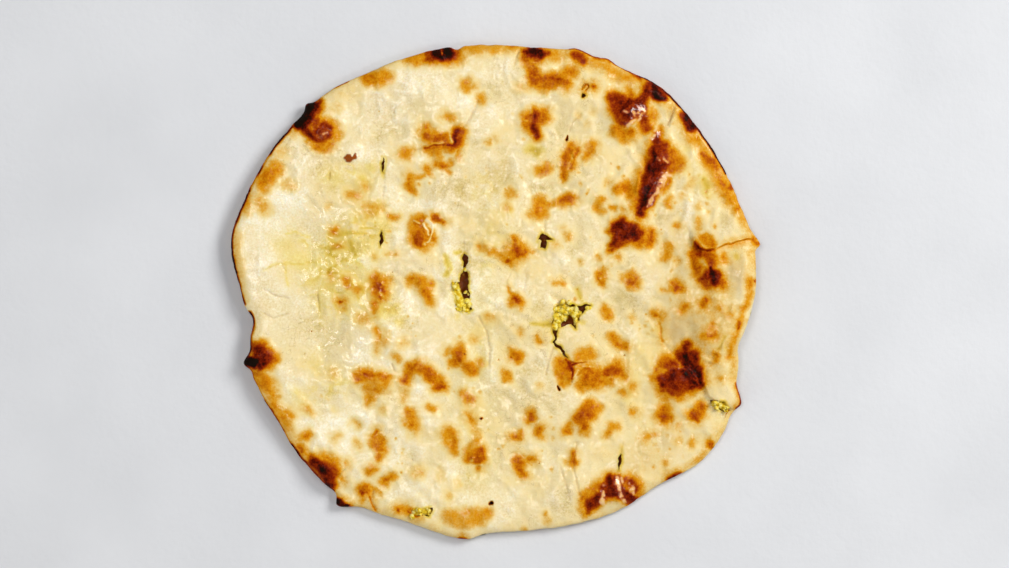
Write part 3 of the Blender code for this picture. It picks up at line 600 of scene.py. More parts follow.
# %% Scorch marks on the right
RIGHT_MARKS = [
    (0.79, 2.8, [(66, 34, 3.8), (70, 32, 5.2), (75, 31, 4)]), (0.88, 2.2, [(74, 31, 3), (76, 29, 2.2)]),
    (0.68, 2.8, [(64, 33, 2.6), (68, 37, 2.6)]), (0.76, 2.8, [(66, 29.5, 2.6), (63, 25.5, 1.6)]),
    (0.68, 2.2, [(71, 28, 2.2), (66, 25, 1.6), (62, 22.5, 1)]), (0.5, 3, [(77, 27, 3.6)]),
    (0.46, 3, [(79.5, 31, 2.2)]), (0.44, 2.8, [(77, 39, 1.6)]),
    (0.5, 2.8, [(83, 27, 2.6), (84.3, 31, 2.6)]), (0.62, 2.2, [(84.7, 31, 1.5), (84, 28, 1.5)]),
    (0.43, 2.8, [(93.5, 24, 1.6), (92, 18.5, 1.6)]), (0.5, 2, [(92.5, 20, 1.2)]),
    (0.33, 2.8, [(98, 16, 1.3)]), (0.44, 2.2, [(98.5, 36, 1.6)]), (0.42, 1.8, [(118, 34.8, 0.9)]),
    (0.38, 2, [(110, 38, 0.8), (109.5, 34, 0.8)]), (0.33, 2.8, [(109.5, 46, 1)]),
    (0.2, 2.5, [(115.5, 43, 1)]), (0.38, 2.4, [(66, 18.5, 1.5)]), (0.36, 2.4, [(55.5, 18, 1.1)]),
    (0.3, 2.4, [(46.5, 15.5, 1.3)]), (0.46, 2.8, [(57, 8.5, 2.6), (57, 5, 2.2)]),
    (0.58, 2, [(56.5, 7, 1.4)]), (0.36, 1.8, [(58, 12, 0.8)]),
    (0.47, 3.2, [(73.5, 9, 2.2), (74, 5, 3.4)]), (0.66, 3, [(73.5, 5.5, 2.1)]),
    (0.34, 2.8, [(69, 7, 1.7)]), (0.52, 2.8, [(97, 3, 3.2), (99, 1.5, 2.6)]),
    (0.68, 2.8, [(97.5, 1.5, 2)]), (0.36, 1.8, [(90, 1, 0.9), (93, 0.5, 0.7)]),
    (0.48, 2.8, [(59, -9, 2.2), (61, -13, 2.2)]), (0.26, 2.4, [(73.5, -14, 1.8)]),
    (0.48, 2.8, [(86, -12, 2), (89, -14, 1.6)]), (0.58, 2, [(87, -13, 1.2)]),
    (0.32, 1.5, [(88.6, -17, 0.7), (89.3, -23, 0.8), (90, -27, 0.7)]),
    (0.44, 2.4, [(103, -8, 1.3), (100.5, -10.5, 1.1)]), (0.52, 2.4, [(113, -5, 1.3), (111.5, -7.5, 1.6)]),
    (0.62, 1.5, [(113, -5, 0.9)]), (0.5, 2.8, [(63.5, -25, 1.8), (66, -28, 2), (71, -30, 1.4)]),
    (0.6, 1.8, [(66, -28.5, 1.2)]), (0.44, 2.4, [(111.5, -24.5, 1.3), (117, -24, 1.3)]),
    (0.34, 1.8, [(115, -21, 0.9), (117, -17, 0.7)]), (0.38, 1.8, [(120, -10, 0.8)]),
    (0.36, 1.8, [(126.5, -12, 0.9)]), (0.46, 2.8, [(136.8, -2, 1.8), (134.4, -9, 1)]),
    (0.7, 2, [(132, -16, 0.9), (130.8, -19.5, 1.1)]),
    (0.44, 2.4, [(133.8, -9, 0.9), (130, -22, 1.1), (127.4, -29, 0.9), (126, -35, 0.9)]),
    (0.5, 2.5, [(137.5, 6, 1.4), (136.5, 2, 1.6)]), (0.95, 1, [(140, 5, 0.5)]),
    (0.5, 2.2, [(118.7, -34, 1), (118.5, -38, 1.2)]), (0.38, 2, [(121.5, -47, 1.1)]),
    (0.82, 1.8, [(107.5, 26.5, 0.7), (109, 23.5, 1.5), (112, 22, 0.7), (117, 22.8, 0.7)]),
    (0.68, 2.2, [(108.5, 24, 2), (110, 20, 2.2)]), (0.52, 2.4, [(112.5, 28, 2.6), (116, 26.3, 2.8)]),
    (0.6, 2.6, [(107.5, 21, 2.6), (107, 15, 2.6), (109, 9.5, 2.4)]),
    (0.61, 2.6, [(112, 20, 2.4), (115, 19, 2.8), (116, 15, 2.6)]),
    (0.94, 1.8, [(115, 13, 0.8), (115.7, 9, 1.8), (117, 6, 1.8)]),
    (0.79, 2.6, [(114.5, 9, 3), (118, 8, 3.4), (118, 4.5, 2.6)]),
    (0.64, 2.6, [(111.5, 6, 2.2), (114, 3.2, 1.8), (120.5, 4.5, 2.2)]), (0.4, 2.8, [(123, 17.5, 2)]),
    (0.36, 2.8, [(120.5, 16, 1.3)]),
    (0.95, 3.2, [(103, -36, 2.6), (104.5, -41, 3.6), (108.5, -45, 3), (111, -49.5, 1.4)]),
    (0.93, 2.8, [(100, -43.5, 1.8), (104, -46, 2.2), (108, -50, 1.3)]),
    (0.82, 3, [(103.5, -29.5, 1.8), (101, -35, 3.4), (106, -35, 3), (109.5, -42, 2.2)]),
    (0.83, 3, [(97.5, -45, 3.6), (93, -47, 3.4), (89.5, -47.5, 2.4)]),
    (0.79, 2.8, [(91, -50.5, 2.4), (97, -51, 3.4), (105, -51, 2.6), (110.5, -51, 1.2)]),
    (0.84, 3, [(98, -48, 3), (104, -47.5, 3)]),
    (0.72, 2.8, [(92, -53, 2.6), (98, -54, 2.6), (104, -53.5, 2.2)]),
    (0.66, 3, [(93.5, -40, 3), (97, -39, 2.6)]), (0.52, 3, [(93, -37, 2.6), (88, -43, 2.4)]),
    (0.46, 3, [(85.5, -46, 1.8), (91, -56, 2.2), (99, -57, 2)]),
    (0.6, 2.4, [(139, 28.5, 1), (142, 25.5, 1)]), (0.3, 3, [(137, 34, 1.5)]),
    # A thin dark line along the right-hand fold: partly scorch, partly painted shadow under the edge of
    # the upper sheet.
    (0.62, 0.9, [
        (108, 23.5, 0.2), (113, 22, 0.3), (119, 23.3, 0.2), (126, 25.5, 0.2), (133, 27.5, 0.2),
        (142, 29, 0.3),
    ]),
]
print(len(RIGHT_MARKS), "marks on the right")

# %% Scorch marks on the lower part
LOWER_MARKS = [
    (0.54, 3.2, [(51, -61, 2.6), (50, -65, 4.6), (46, -69, 3.6), (48, -74, 2.2)]),
    (0.64, 2.6, [(48.5, -66, 2.6), (46, -68, 2.2)]), (0.46, 2.8, [(55, -63, 2.2)]),
    (0.45, 2.2, [(46, -76, 0.9)]), (0.48, 2.2, [(41, -72, 1), (38.5, -76.5, 1.6)]),
    (0.44, 2.6, [(61, -77, 1.6), (63, -74, 1.9), (66, -73, 0.9)]),
    (0.38, 2.4, [(67.5, -54.5, 1.3), (69, -56, 1)]), (0.34, 2.4, [(73.5, -52, 1.6)]),
    (0.36, 2.8, [(74.5, -66, 1.6)]), (0.52, 2.8, [(92, -63.5, 2.7), (89, -66.5, 2.2), (92, -68.5, 3.1)]),
    (0.62, 2.8, [(92, -67, 2)]), (0.54, 2.8, [(111.5, -62.5, 2.2), (109, -66, 3.4), (106, -67, 2.2)]),
    (0.66, 2.2, [(107.5, -68.5, 1.8), (109, -70, 0.9)]),
    (0.38, 2.4, [(81.5, -79, 1.2), (83.5, -78.5, 0.9)]), (0.38, 2, [(86.5, -77.5, 1.1)]),
    (0.43, 2.4, [(107, -80.5, 1.2), (105.5, -83, 1.3)]), (0.27, 2.4, [(98.5, -73, 0.9)]),
    (0.25, 2.6, [(99, -80, 1.3)]), (0.62, 2.2, [(115, -81, 1.1), (116, -84, 1.6)]),
    (0.53, 2.4, [(42, -88, 1.3), (42, -92.5, 1.3)]), (0.28, 3, [(38, -92, 1.3)]),
    (0.33, 2.5, [(92, -93.5, 1.2)]), (0.36, 2.5, [(97, -97, 1)]),
    (0.86, 2, [(93.5, -101, 1.2), (96.5, -99.8, 1.4), (99.5, -98.6, 0.9)]),
    (0.4, 2.8, [(95, -99.5, 1.6)]),
    (0.8, 2.8, [(60.5, -101, 2), (62, -106, 4.2), (57, -110.5, 3.2), (52, -114.5, 3), (50.5, -118, 1.6)]),
    (0.82, 2.8, [(60.5, -103, 1.8), (62.5, -109, 3), (54, -112.5, 2), (51, -117, 1.6)]),
    (0.8, 2.8, [(65.5, -103, 3), (67, -109, 3.6), (72, -111.5, 3), (76, -112.5, 2)]),
    (0.7, 2.8, [(71, -102.5, 2.4), (75.5, -106.5, 2.8)]),
    (0.48, 3, [(73, -101, 2.2), (78, -106, 2.2), (77, -110, 1.8)]),
    (0.46, 3, [(57, -105, 2.4), (48, -111, 2.4), (46, -116, 2), (48.5, -120, 1.6)]),
    (0.48, 3, [(-46, -65.5, 2.2), (-46, -70, 3.2), (-43.5, -73.5, 2.6)]),
    (0.57, 2.4, [(-45, -71.5, 1.8)]), (0.42, 2.6, [(-35.5, -62, 1.3), (-33, -64, 1.3)]),
    (0.45, 2.8, [(-25, -77, 3.4), (-23.5, -81, 3.8), (-22, -86, 2)]),
    (0.42, 2.8, [(-11, -81, 1.8), (-12, -85, 2.8)]), (0.54, 2.8, [(-13, -88.5, 3.6), (-9.5, -88, 3.4)]),
    (0.64, 2.2, [(-7.5, -86, 1.7), (-7, -91, 1.7), (-10, -91, 2.2)]), (0.74, 1.5, [(-6.8, -87, 1)]),
    (0.5, 1.8, [(-9, -96, 1.3)]), (0.44, 2.4, [(-17.5, -54, 1.5), (-15, -58, 1.8), (-12.5, -59, 1.6)]),
    (0.44, 2.2, [(-15, -67, 1), (-13, -69.5, 1.3), (-12, -71.5, 0.9)]),
    (0.28, 3, [(-12, -74, 1.3), (-10, -77, 1.7)]), (0.49, 2.6, [(18.5, -64.5, 1.8), (19, -69, 2.7)]),
    (0.64, 1.8, [(18.5, -66.5, 1.1), (18.5, -71, 0.9)]), (0.51, 2.4, [(24, -74, 1.8), (23.5, -77, 2.2)]),
    (0.62, 1.8, [(24, -76, 1.1)]), (0.47, 2.1, [(9, -78.5, 1.3), (12.5, -79, 1.6), (14, -76.5, 1.2)]),
    (0.53, 2.8, [(12.5, -91, 2.5), (13, -95, 2.7), (15, -98.5, 1.6)]), (0.59, 2.2, [(13, -93, 1.8)]),
    (0.46, 2.2, [(18, -91, 1.6), (21, -91.5, 0.9)]), (0.22, 4, [(-44, -99, 2.2), (-41, -97.5, 1.8)]),
    (0.15, 3.5, [(-30, -97, 1.3), (-30, -101, 0.9)]), (0.2, 2.8, [(-24.5, -110.5, 1.3)]),
    (0.2, 2.8, [(-20, -104, 1.3)]),
    (0.37, 3.2, [(-24, -121.5, 3.6), (-18, -122.5, 4.6), (-10, -122, 4.6), (-4, -120.5, 2.2)]),
    (0.46, 3.2, [(-9, -121, 3), (-4, -119.5, 1.8)]), (0.43, 2.6, [(-22, -120, 1.6)]),
    (0.85, 1.4, [(-20, -133, 0.6), (-16, -133.3, 0.6)]), (0.45, 2, [(-18, -131, 1.4)]),
    (0.28, 2.8, [(28, -123.5, 2)]), (0.42, 1.8, [(27, -121, 0.9)]), (0.3, 2.5, [(16, -129.5, 1)]),
    (0.2, 3, [(24, -51, 1.8)]), (0.25, 3, [(-49, -52, 0.9), (-49.5, -60, 0.9)]),
    (0.54, 2.8, [(-73, -108, 2.2), (-70, -107.5, 2.7), (-68, -109, 1.7)]),
    (0.62, 2.2, [(-72, -109, 1.7)]), (0.42, 2.2, [(-72, -112.5, 1.2)]),
    (0.66, 0.8, [(-67.3, -111, 0.2), (-66.8, -114.5, 0.3), (-65, -118.5, 0.3)]),
    (0.42, 2, [(-66, -107.5, 1.1), (-62, -109, 0.9)]), (0.47, 2.8, [(-60, -103, 2.2), (-56, -100, 2.2)]),
    (0.59, 2.2, [(-59, -102, 1.8)]), (0.51, 2.6, [(-67.5, -97, 1.7), (-65.5, -95.5, 1.3)]),
    (0.51, 2.8, [(-66, -80, 2.2), (-63, -82, 3.5), (-61, -85, 2.2)]),
    (0.62, 1.6, [(-66.5, -79, 0.9), (-64, -75.5, 0.9)]),
    (0.49, 2.2, [(-62.5, -89, 1.7), (-62.5, -91, 1.6)]), (0.28, 2.8, [(-75, -82, 1.3), (-74, -85, 0.9)]),
    (0.33, 2.4, [(-76, -71, 0.9), (-74, -72.5, 1.1)]), (0.2, 3, [(-61.5, -64.5, 1.3)]),
    (0.9, 2.8, [(-95, -95.5, 2.4), (-91.5, -98, 2.4)]),
    (0.96, 2.4, [(-92, -102, 1.4), (-88.8, -108.5, 1.4)]),
    (0.8, 3.2, [(-98, -93, 2.8), (-93, -96, 4.2), (-90, -101, 3.6), (-89, -105, 2.4)]),
    (0.63, 3.2, [(-88, -96, 3.1), (-86.5, -99, 2.2), (-99, -91, 2.6)]),
    (0.43, 3.2, [(-95, -91, 3.5), (-87, -94, 3.5)]), (0.54, 2.8, [(-106, -84, 1.3), (-104.5, -87, 1.8)]),
    (0.3, 2, [(-80, -93, 1.1)]), (0.38, 2, [(-83, -102, 1.2), (-81, -104, 0.9)]),
    (1, 1.4, [(-87.6, -112, 1.2), (-84.5, -114.5, 1.5), (-81, -116.6, 1.5)]),
    (0.8, 1.8, [(-80, -118, 1), (-78, -118, 0.7)]), (0.5, 2.4, [(-86, -112.5, 1.2), (-81, -115.5, 1.3)]),
    (0.42, 2.8, [(-53, -117, 1.7), (-48, -118, 2.2), (-45, -120, 1.7)]),
    (0.7, 0.8, [(-47, -119, 0.3), (-44.5, -121.8, 0.4), (-41.5, -122.6, 0.3)]),
    (0.8, 1, [(-52.5, -118.3, 0.7)]),
]
print(len(LOWER_MARKS), "marks on the lower part")

# %% Pale flecks within the marks
# Torn skin and flecks inside the marks, which stayed paler, partly painted highlights where the oily
# skin glints: how much paler, softness, beads.
PALE_FLECKS_AND_GLINTS = [
    (0.8, 1, [(-38, 38.5, 0.6), (-34.5, 37, 0.7), (-32, 36, 0.6)]),
    (0.8, 0.9, [(-38.5, 37, 0.5), (-37, 33, 0.6), (-36.5, 30.5, 0.4)]),
    (0.8, 0.9, [(-33, 36, 0.4), (-34, 32, 0.6), (-36, 28, 0.4), (-37.5, 25, 0.4), (-39, 26, 0.4)]),
    (0.7, 1, [(-44, 38.5, 0.4), (-41, 37, 0.5)]), (0.6, 0.9, [(-35.5, 26, 0.3), (-33, 25.5, 0.3)]),
    (0.6, 1.1, [(-61, 4.5, 0.4), (-60, 3, 0.4)]), (0.6, 1.1, [(-61.5, 1.5, 0.4)]),
    (0.6, 1.2, [(-62.5, -2, 0.8), (-61, -4, 0.4)]), (0.5, 1.1, [(-24, 83, 0.5), (-24, 79.5, 0.5)]),
    (0.5, 1.1, [(-34, 79.8, 0.3), (-29, 79.5, 0.3)]), (0.5, 1.5, [(17, 92, 0.8)]),
    (0.6, 1.3, [(-47, -71.5, 0.8)]), (0.5, 1.3, [(-12, -91, 0.8)]), (0.5, 1.3, [(-8, -93.5, 0.6)]),
    (0.5, 1.3, [(-24, -35, 1)]), (0.5, 1.1, [(57.5, 7, 0.7)]),
    (0.6, 1, [(-28.5, 131, 0.3), (-28.5, 127, 0.3)]),
    (0.5, 0.9, [(1, 19.5, 0.3), (6, 19.5, 0.3), (9, 18.5, 0.3)]),
    (0.5, 1, [(42, -47, 0.4), (48, -41, 0.4), (55, -41, 0.4)]),
    (0.15, 1, [(98, -41.5, 0.2), (102, -40.8, 0.3), (105, -42.5, 0.3), (109, -48, 0.2)]),
    (0.12, 1, [(99, -44.5, 0.2), (103, -44, 0.2), (106, -47.5, 0.2)]),
]
print(len(PALE_FLECKS_AND_GLINTS), "pale flecks")

# %% All scorch marks
scorch_strokes = (
    TOP_LEFT_MARKS + TOP_MARKS + TOP_RIGHT_MARKS + LEFT_MARKS + MIDDLE_MARKS + RIGHT_MARKS + LOWER_MARKS
)
print(len(scorch_strokes), "scorch strokes")

# %% [markdown]
# The rim touches the oven wall last and dries first, so long stretches of it are golden and the very
# edge is burnt in places. These strokes follow the outline between two angles.

# %% Browned rim
# First and last angle in degrees, inset, half width, level, softness.
RIM_BANDS = [
    (141, 163, 0.2, 1.1, 1, 1.2),
    (163, 176, 0.2, 1.2, 1, 1.2),
    (176, 183, 0.2, 0.7, 0.9, 1.2),
    (185, 197, 0.2, 1, 0.95, 1.4),
    (125, 131, 0.1, 0.4, 0.9, 1),
    (197, 222, 0.2, 0.7, 0.86, 1.6),
    (217, 231, 0.2, 0.9, 1, 1.4),
    (27, 56, 0.3, 0.6, 1.05, 1.2),
    (56, 73, 0.3, 0.4, 0.9, 1.1),
    (21, 73, 4, 3.6, 0.36, 7),
    (12, 22, 2, 1.8, 0.34, 4),
    (199, 223, 3.4, 3, 0.4, 6),
    (315, 327, 2, 1.8, 0.33, 4),
    (334, 339, 0.3, 0.7, 0.84, 1.4),
    (334, 338, 1.5, 1.5, 0.26, 3),
    (100, 130, 0.5, 0.5, 0.3, 3),
]


def along_rim(first, last, inset, radius, level, soft):
    """A stroke that follows the outline."""
    degrees = np.arange(first, last + 1)
    turn = np.radians(degrees)
    away = rim_radius(degrees) - inset
    return (level, soft, [(r * np.cos(a), r * np.sin(a), radius) for r, a in zip(away, turn)])


rim_strokes = [along_rim(*row) for row in RIM_BANDS]
print(len(rim_strokes), "strokes along the rim")

# %% [markdown]
# ## Creases, pits and fine relief
# Stretched dough is covered with fine wrinkles that run the way it was pulled. Here and there a crease
# is deep enough to draw a line, and burst bubbles leave small dark pits. Wrinkles are soft lumps drawn
# out in one direction; creases and pits are strokes that lower the surface.

# %% Creases
# Depth and softness of each crease, then its beads.
CREASES = [
    (1, 2.4, [(-9.5, 103, 0.2), (-11, 99, 0.3), (-14, 93, 0.2), (-17.5, 88, 0.1)]),
    (0.7, 4.1, [(97, 100, 0.2), (94.5, 95, 0.6), (92.5, 89, 0.6)]),
    (1.6, 2, [(97.2, 100.5, 0.1), (95.6, 96, 0.4), (93, 89.5, 0.4)]),
    (0.9, 2, [(-125, 1, 0.1), (-120, -2, 0.2), (-112, -4, 0.1)]),
    (0.8, 2, [(-125, -12, 0.1), (-120, -14.5, 0.2), (-112, -12, 0.1)]),
    (0.5, 2.4, [(-124, 12, 0.1), (-116, 15, 0.2), (-113, 11, 0.1)]),
    (0.5, 2, [(10, 13, 0.1), (6, 5, 0.2), (7.5, 1, 0.2)]), (0.5, 2, [(16.5, 9, 0.1), (15.5, 0, 0.1)]),
    (0.9, 2, [(31.5, -30, 0.2), (29.5, -36, 0.3), (27, -45, 0.2)]),
    (0.9, 1.6, [(26.8, 38, 0.1), (26.5, 31, 0.2)]),
    (0.8, 2.2, [(46.2, 95.6, 0.1), (41.5, 90.5, 0.2), (39.6, 85.5, 0.1)]),
    (0.9, 1.6, [(-54.3, 99.8, 0.1), (-55, 96, 0.2)]),
    (1.2, 0.9, [
        (46.8, 109.9, 0.3), (48, 111.8, 0.3), (49.8, 111.6, 0.3), (50.2, 109.8, 0.3),
        (48.6, 108.4, 0.3),
    ]),
    (1, 1.6, [(-89.3, 63.5, 0.2), (-89.8, 60.5, 0.2)]),
    (1, 1.6, [(-56, -39.4, 0.2), (-54.8, -42.7, 0.2)]),
    (0.7, 2.4, [(-9, -14, 0.2), (-5, -22, 0.2), (-3, -32, 0.3), (-3.5, -43, 0.2)]),
    (0.5, 2.7, [(-104, 78, 0.2), (-99, 73, 0.4), (-90, 71.5, 0.2)]),
    (1.3, 1.8, [(14, 131, 0.2), (11.5, 127, 0.3), (10.5, 122.5, 0.1)]),
    (0.7, 2, [(-39, 78, 0.2), (-33, 79, 0.2), (-28, 79, 0.2)]),
    (1, 1.6, [(-44, 76, 0.1), (-37.5, 77.8, 0.2)]),
    (1.2, 2, [(-66, -108, 0.2), (-67, -113, 0.3), (-64.3, -118, 0.2)]),
    (0.8, 2.6, [(35, -95, 0.2), (38, -105, 0.3), (40, -113, 0.2)]),
    (0.9, 2.4, [(44, -82, 0.2), (42, -94, 0.2), (44, -104, 0.3), (46, -112, 0.2)]),
    (0.5, 2.7, [(88.5, -12, 0.2), (90, -27, 0.3), (95, -33, 0.2)]),
    (0.8, 2, [(123, -25, 0.2), (121, -30, 0.3), (118, -33, 0.2)]),
    (0.7, 2.4, [(119, -33, 0.2), (114, -40, 0.2), (113, -50, 0.3)]),
    (0.8, 1.7, [(40, -38, 0.3), (43, -39, 0.3), (49, -38.5, 0.2)]),
    (0.8, 1.7, [(43, -39, 0.2), (41.5, -44, 0.3), (41, -49, 0.2)]),
    (0.5, 2.4, [(-60, 66, 0.2), (-60, 58, 0.3), (-61, 50, 0.2)]),
    (1, 1.6, [(-96, -0.5, 0.1), (-95.7, -6, 0.2), (-95, -11, 0.1)]),
    (0.5, 2.4, [(-17, 27, 0.1), (-17, 20, 0.2)]), (0.5, 2.4, [(69, -82, 0.2), (67.5, -89, 0.3)]),
]
print(len(CREASES), "creases")

# %% Pits
# Pits: place x and y, radius.
PITS = [
    (-2.2, -114.5, 1.4), (-8, -69, 0.9), (23.7, -93, 0.5),
    (-99.3, -21.7, 0.6), (36.7, -6, 0.7), (33, -9, 0.5), (1.7, -37.3, 0.6), (-16.7, -34, 0.7),
    (69.7, -34.8, 0.6), (-80.4, -100.7, 0.5), (62, 68.7, 0.5), (56, 63.7, 0.5), (89.8, 32.7, 0.5),
    (-15, 12.8, 0.4), (-45, -91, 0.5), (-62.5, 97, 0.4), (-75, 12.8, 0.4), (-55.7, 10.3, 0.5),
    (47.4, 105.3, 0.9), (-7.8, 77, 0.4), (119.3, 63, 0.4), (112, 60.5, 0.5), (-128.2, 18, 0.4),
    (-103, -34, 0.4),
]
PIT_DEPTH, PIT_SOFTNESS = 1.6, 0.8
# A pit is two beads: the second one is smaller and lies off the first.
PIT_SHRINK, PIT_SCATTER, SECOND_BEAD = 0.4, 0.4, 0.6
LONG_PITS = [
    (1, 0.8, [(39, 83.8, 0.2), (38.5, 81.6, 0.6)]), (1, 0.8, [(33.5, -51.3, 0.3), (34.5, -53.2, 0.6)]),
]
pit_rng = np.random.default_rng(8)
pit_strokes = list(LONG_PITS)
for x, y, radius in PITS:
    off_x, off_y = pit_rng.normal(0.0, PIT_SCATTER * radius, 2)
    beads = [(x, y, radius - PIT_SHRINK), (x + off_x, y + off_y, SECOND_BEAD * radius - PIT_SHRINK)]
    pit_strokes.append((1.0, PIT_SOFTNESS, beads))
print(len(pit_strokes), "pits")

# %% [markdown]
# Scorched blisters are not smooth. Their skin is tight, dark and oily, with small bubbles and torn
# ridges that catch the light. The bubbles are strokes that raise the surface, so the glints on them
# are real reflections and move with the light. Pale torn skin is also painted at some glints, a
# painted highlight over the real one.

# %% Bubbles on the scorched skin
BUBBLES = [
    (1, 3, [(-92, 84.5, 2.6)]), (0.6, 1.6, [(-99, 90, 0.5)]), (0.6, 1.6, [(-96, 88.5, 0.6)]),
    (1.6, 8, [(71, 97, 3), (72.5, 90.5, 2)]), (1.2, 6, [(82.5, 83.5, 1), (85, 86, 1)]),
    (0.7, 2, [(89, 70.5, 0.5), (92, 69, 0.5)]), (0.8, 5, [(84, 53, 1.4), (81, 47, 1.4)]),
    (0.8, 1.6, [(77.5, 61, 0.5), (76, 54, 0.5)]),
    (1.3, 5.5, [(62.8, -100.5, 1), (64, -106, 1.2), (65.5, -112, 1), (66.5, -115, 0.5)]),
    (1.1, 4.5, [(55, -108.5, 0.8), (55.5, -114.5, 0.8)]), (1, 4, [(71.5, -106.5, 1.2)]),
    (0.8, 2, [(62, -113, 0.5)]),
    (0.45, 1.2, [(98, -42, 0.2), (101, -41, 0.4), (104, -41.5, 0.4), (107, -45, 0.5), (109, -48, 0.3)]),
    (0.4, 1.2, [(99, -44.5, 0.3), (101.5, -43.5, 0.4), (105, -47, 0.4), (108, -49, 0.3)]),
    (0.8, 1.5, [(114.5, 12, 0.3), (113.5, 7, 0.4)]),
    (0.7, 1.4, [(-38, 40, 0.5), (-34, 36.5, 0.7), (-33.5, 33, 0.5), (-36.5, 27, 0.5)]),
    (0.6, 1.3, [(-43.5, 38, 0.8), (-40.5, 36.5, 0.5)]), (0.6, 1.3, [(-39, 36.5, 0.4), (-37.5, 31, 0.4)]),
    (0.6, 1.3, [(-61.5, 4, 0.8)]), (0.6, 1.3, [(-62.5, -2.5, 0.9)]), (0.5, 1.3, [(-66, -7.5, 0.6)]),
    (0.7, 1.4, [(-24, 83.5, 0.5), (-24.2, 80, 0.4)]), (0.6, 1.4, [(16.5, 91.5, 0.7)]),
    (0.7, 1.5, [(-12.5, -90.5, 0.8)]), (0.7, 1.5, [(-8, -94, 0.8)]), (0.5, 1.3, [(-25, -84, 0.9)]),
    (0.9, 1.5, [(42, -48, 0.3), (46, -44, 0.5), (50, -41.5, 0.4)]),
    (0.6, 1.5, [(54, -47, 0.5), (58, -45, 0.4)]), (0.8, 1.4, [(-33, 129.5, 0.4)]),
    (0.9, 1.3, [(-28.5, 131, 0.3), (-28.8, 126.5, 0.3)]), (0.8, 1.6, [(41.5, 75, 0.5), (43, 72, 0.4)]),
]
print(len(BUBBLES), "bubbles")

# %% Oily skin
# Oily skin on the scorched blisters, which glints: level, softness, beads.
OILY_STROKES = [
    (1, 3, [(76, 96, 4), (79, 97, 3)]), (1, 2.5, [(71.5, 90, 1.4), (75, 90.5, 2)]),
    (1, 2.5, [(85, 83, 2), (87.5, 86, 1.6)]),
    (1, 3, [(93, 64, 1.8), (90, 59, 3), (87.5, 53.5, 2.8), (84, 47.5, 2)]),
    (1, 3, [(66, -101, 1.8), (67.5, -107, 2), (69, -113, 1.4)]),
    (1, 2.5, [(57.5, -109, 1.2), (58, -114, 1.8)]), (1, 2.5, [(74, -107, 1.8)]),
    (0.8, 3.5, [(-92.5, 85, 3)]), (0.15, 3, [(98, -41.5, 0.8), (104, -42, 1.2), (108, -46, 0.8)]),
    (0.5, 3, [(-38, 36, 3), (-34, 34, 3)]), (0.5, 3, [(-62, 3, 2), (-62.5, -3, 2)]),
    (0.5, 3, [(-12, -91, 2)]),
]
print(len(OILY_STROKES), "oily places")

# %% Torn skin
# Thin blistered skin that tore and stayed pale, partly a painted highlight where the oily skin
# glints: level, softness, beads.
TORN_SKIN_AND_GLINTS = [
    (1, 1, [(65.7, -100.8, 0.5), (66.3, -104, 1.1), (67.2, -109, 0.9), (69.3, -113.5, 0.5)]),
    (0.9, 0.9, [(68, -101, 0.3), (68.8, -103, 0.2)]),
    (1, 1, [(57.9, -108.5, 0.2), (58, -111, 0.8), (57.4, -113, 1.2), (58.3, -115.5, 0.4)]),
    (1, 1, [(73, -107.5, 1), (74.5, -106.2, 0.6), (74.3, -109, 0.5)]), (0.9, 0.9, [(62.8, -113.7, 0.3)]),
    (0.8, 0.9, [(72, -104.3, 0.2)]), (0.8, 0.9, [(58.7, -104.3, 0.2)]),
    (1, 1.2, [(94.5, 62.3, 0.3), (92, 62.6, 0.5), (89.6, 60.5, 0.9), (88.3, 57, 1.1), (88, 53.5, 1)]),
    (0.9, 0.9, [(90.4, 59.5, 0.2), (90.8, 56, 0.2), (89.8, 52.3, 0.3)]),
    (0.9, 0.9, [(87, 52.5, 0.4), (85, 51, 0.3)]),
    (0.9, 1, [(84.5, 50, 0.5), (83.3, 48.3, 0.7), (82.2, 45.8, 0.3)]),
    (0.8, 0.9, [(87, 71.4, 0.2), (88.6, 70.6, 0.2)]), (0.8, 0.9, [(91, 71.5, 0.2), (93, 69.5, 0.2)]),
    (1, 1, [(83.8, 82, 0.4), (85.3, 84.3, 1.1), (87.5, 86.8, 0.9)]),
    (0.6, 0.9, [(-92.6, 84.8, 0.2), (-91, 85.4, 0.2)]),
    (0.9, 1, [(74.2, 96.5, 0.6), (75, 94.8, 0.5), (77, 96.3, 0.2)]),
    (0.9, 0.9, [(76.5, 98, 0.2), (78.5, 98.5, 0.4), (80, 97.5, 0.2)]),
    (0.9, 0.9, [(77.5, 94, 0.2), (79.5, 95.5, 0.2), (80.5, 97.2, 0.2)]),
    (0.9, 0.9, [(78, 93, 0.3), (76.5, 92, 0.3)]),
    (1, 1, [(71.5, 89.5, 0.6), (73.5, 91.3, 0.3), (75.5, 92.3, 0.2)]),
    (0.7, 0.9, [(69.5, 96.8, 0.2), (71, 96, 0.2)]),
]
print(len(TORN_SKIN_AND_GLINTS), "places with torn skin")

# %% [markdown]
# The fine relief is a sum of patterns. Wrinkles change their direction from place to place, and the
# stretched dough at the upper right has long thin marks. Crinkles are sharp at the bottom, because they
# lie where a pattern changes its sign. Oily skin is tight, so little of the relief is left on it.

# %% Flake and zones
# A flake of browned dough has stuck to the bread: the corners of it.
FLAKE = [
    (-82.4, 71.8), (-80.2, 74), (-77.8, 74), (-77.4, 72.7), (-75.9, 74.8), (-75.1, 74.8),
    (-74.3, 71.3), (-77, 70.5), (-78.2, 69.1), (-80.7, 69.4), (-81.3, 70.7),
]
FLAKE_THICKNESS, FLAKE_SIDE = 0.9, 0.4
# Zones of the bread. Each of their sides is an axis, where the zone starts, and where it is full.
ZONES = {
    "stretched": [("x", 40, 70), ("y", 5, 35)],
    "calm": [("x", -95, -110), ("y", 55, 40), ("y", -40, -25)],
    "right": [("x", -20, 110)],
    "lip": [("x", 127, 133), ("y", 18, 2), ("y", -62, -52)],
    "lower": [("y", -40, -90), ("x", -90, -60)],
    "left": [("x", -100, -120), ("y", -40, -20)],
}
print(len(ZONES), "zones")

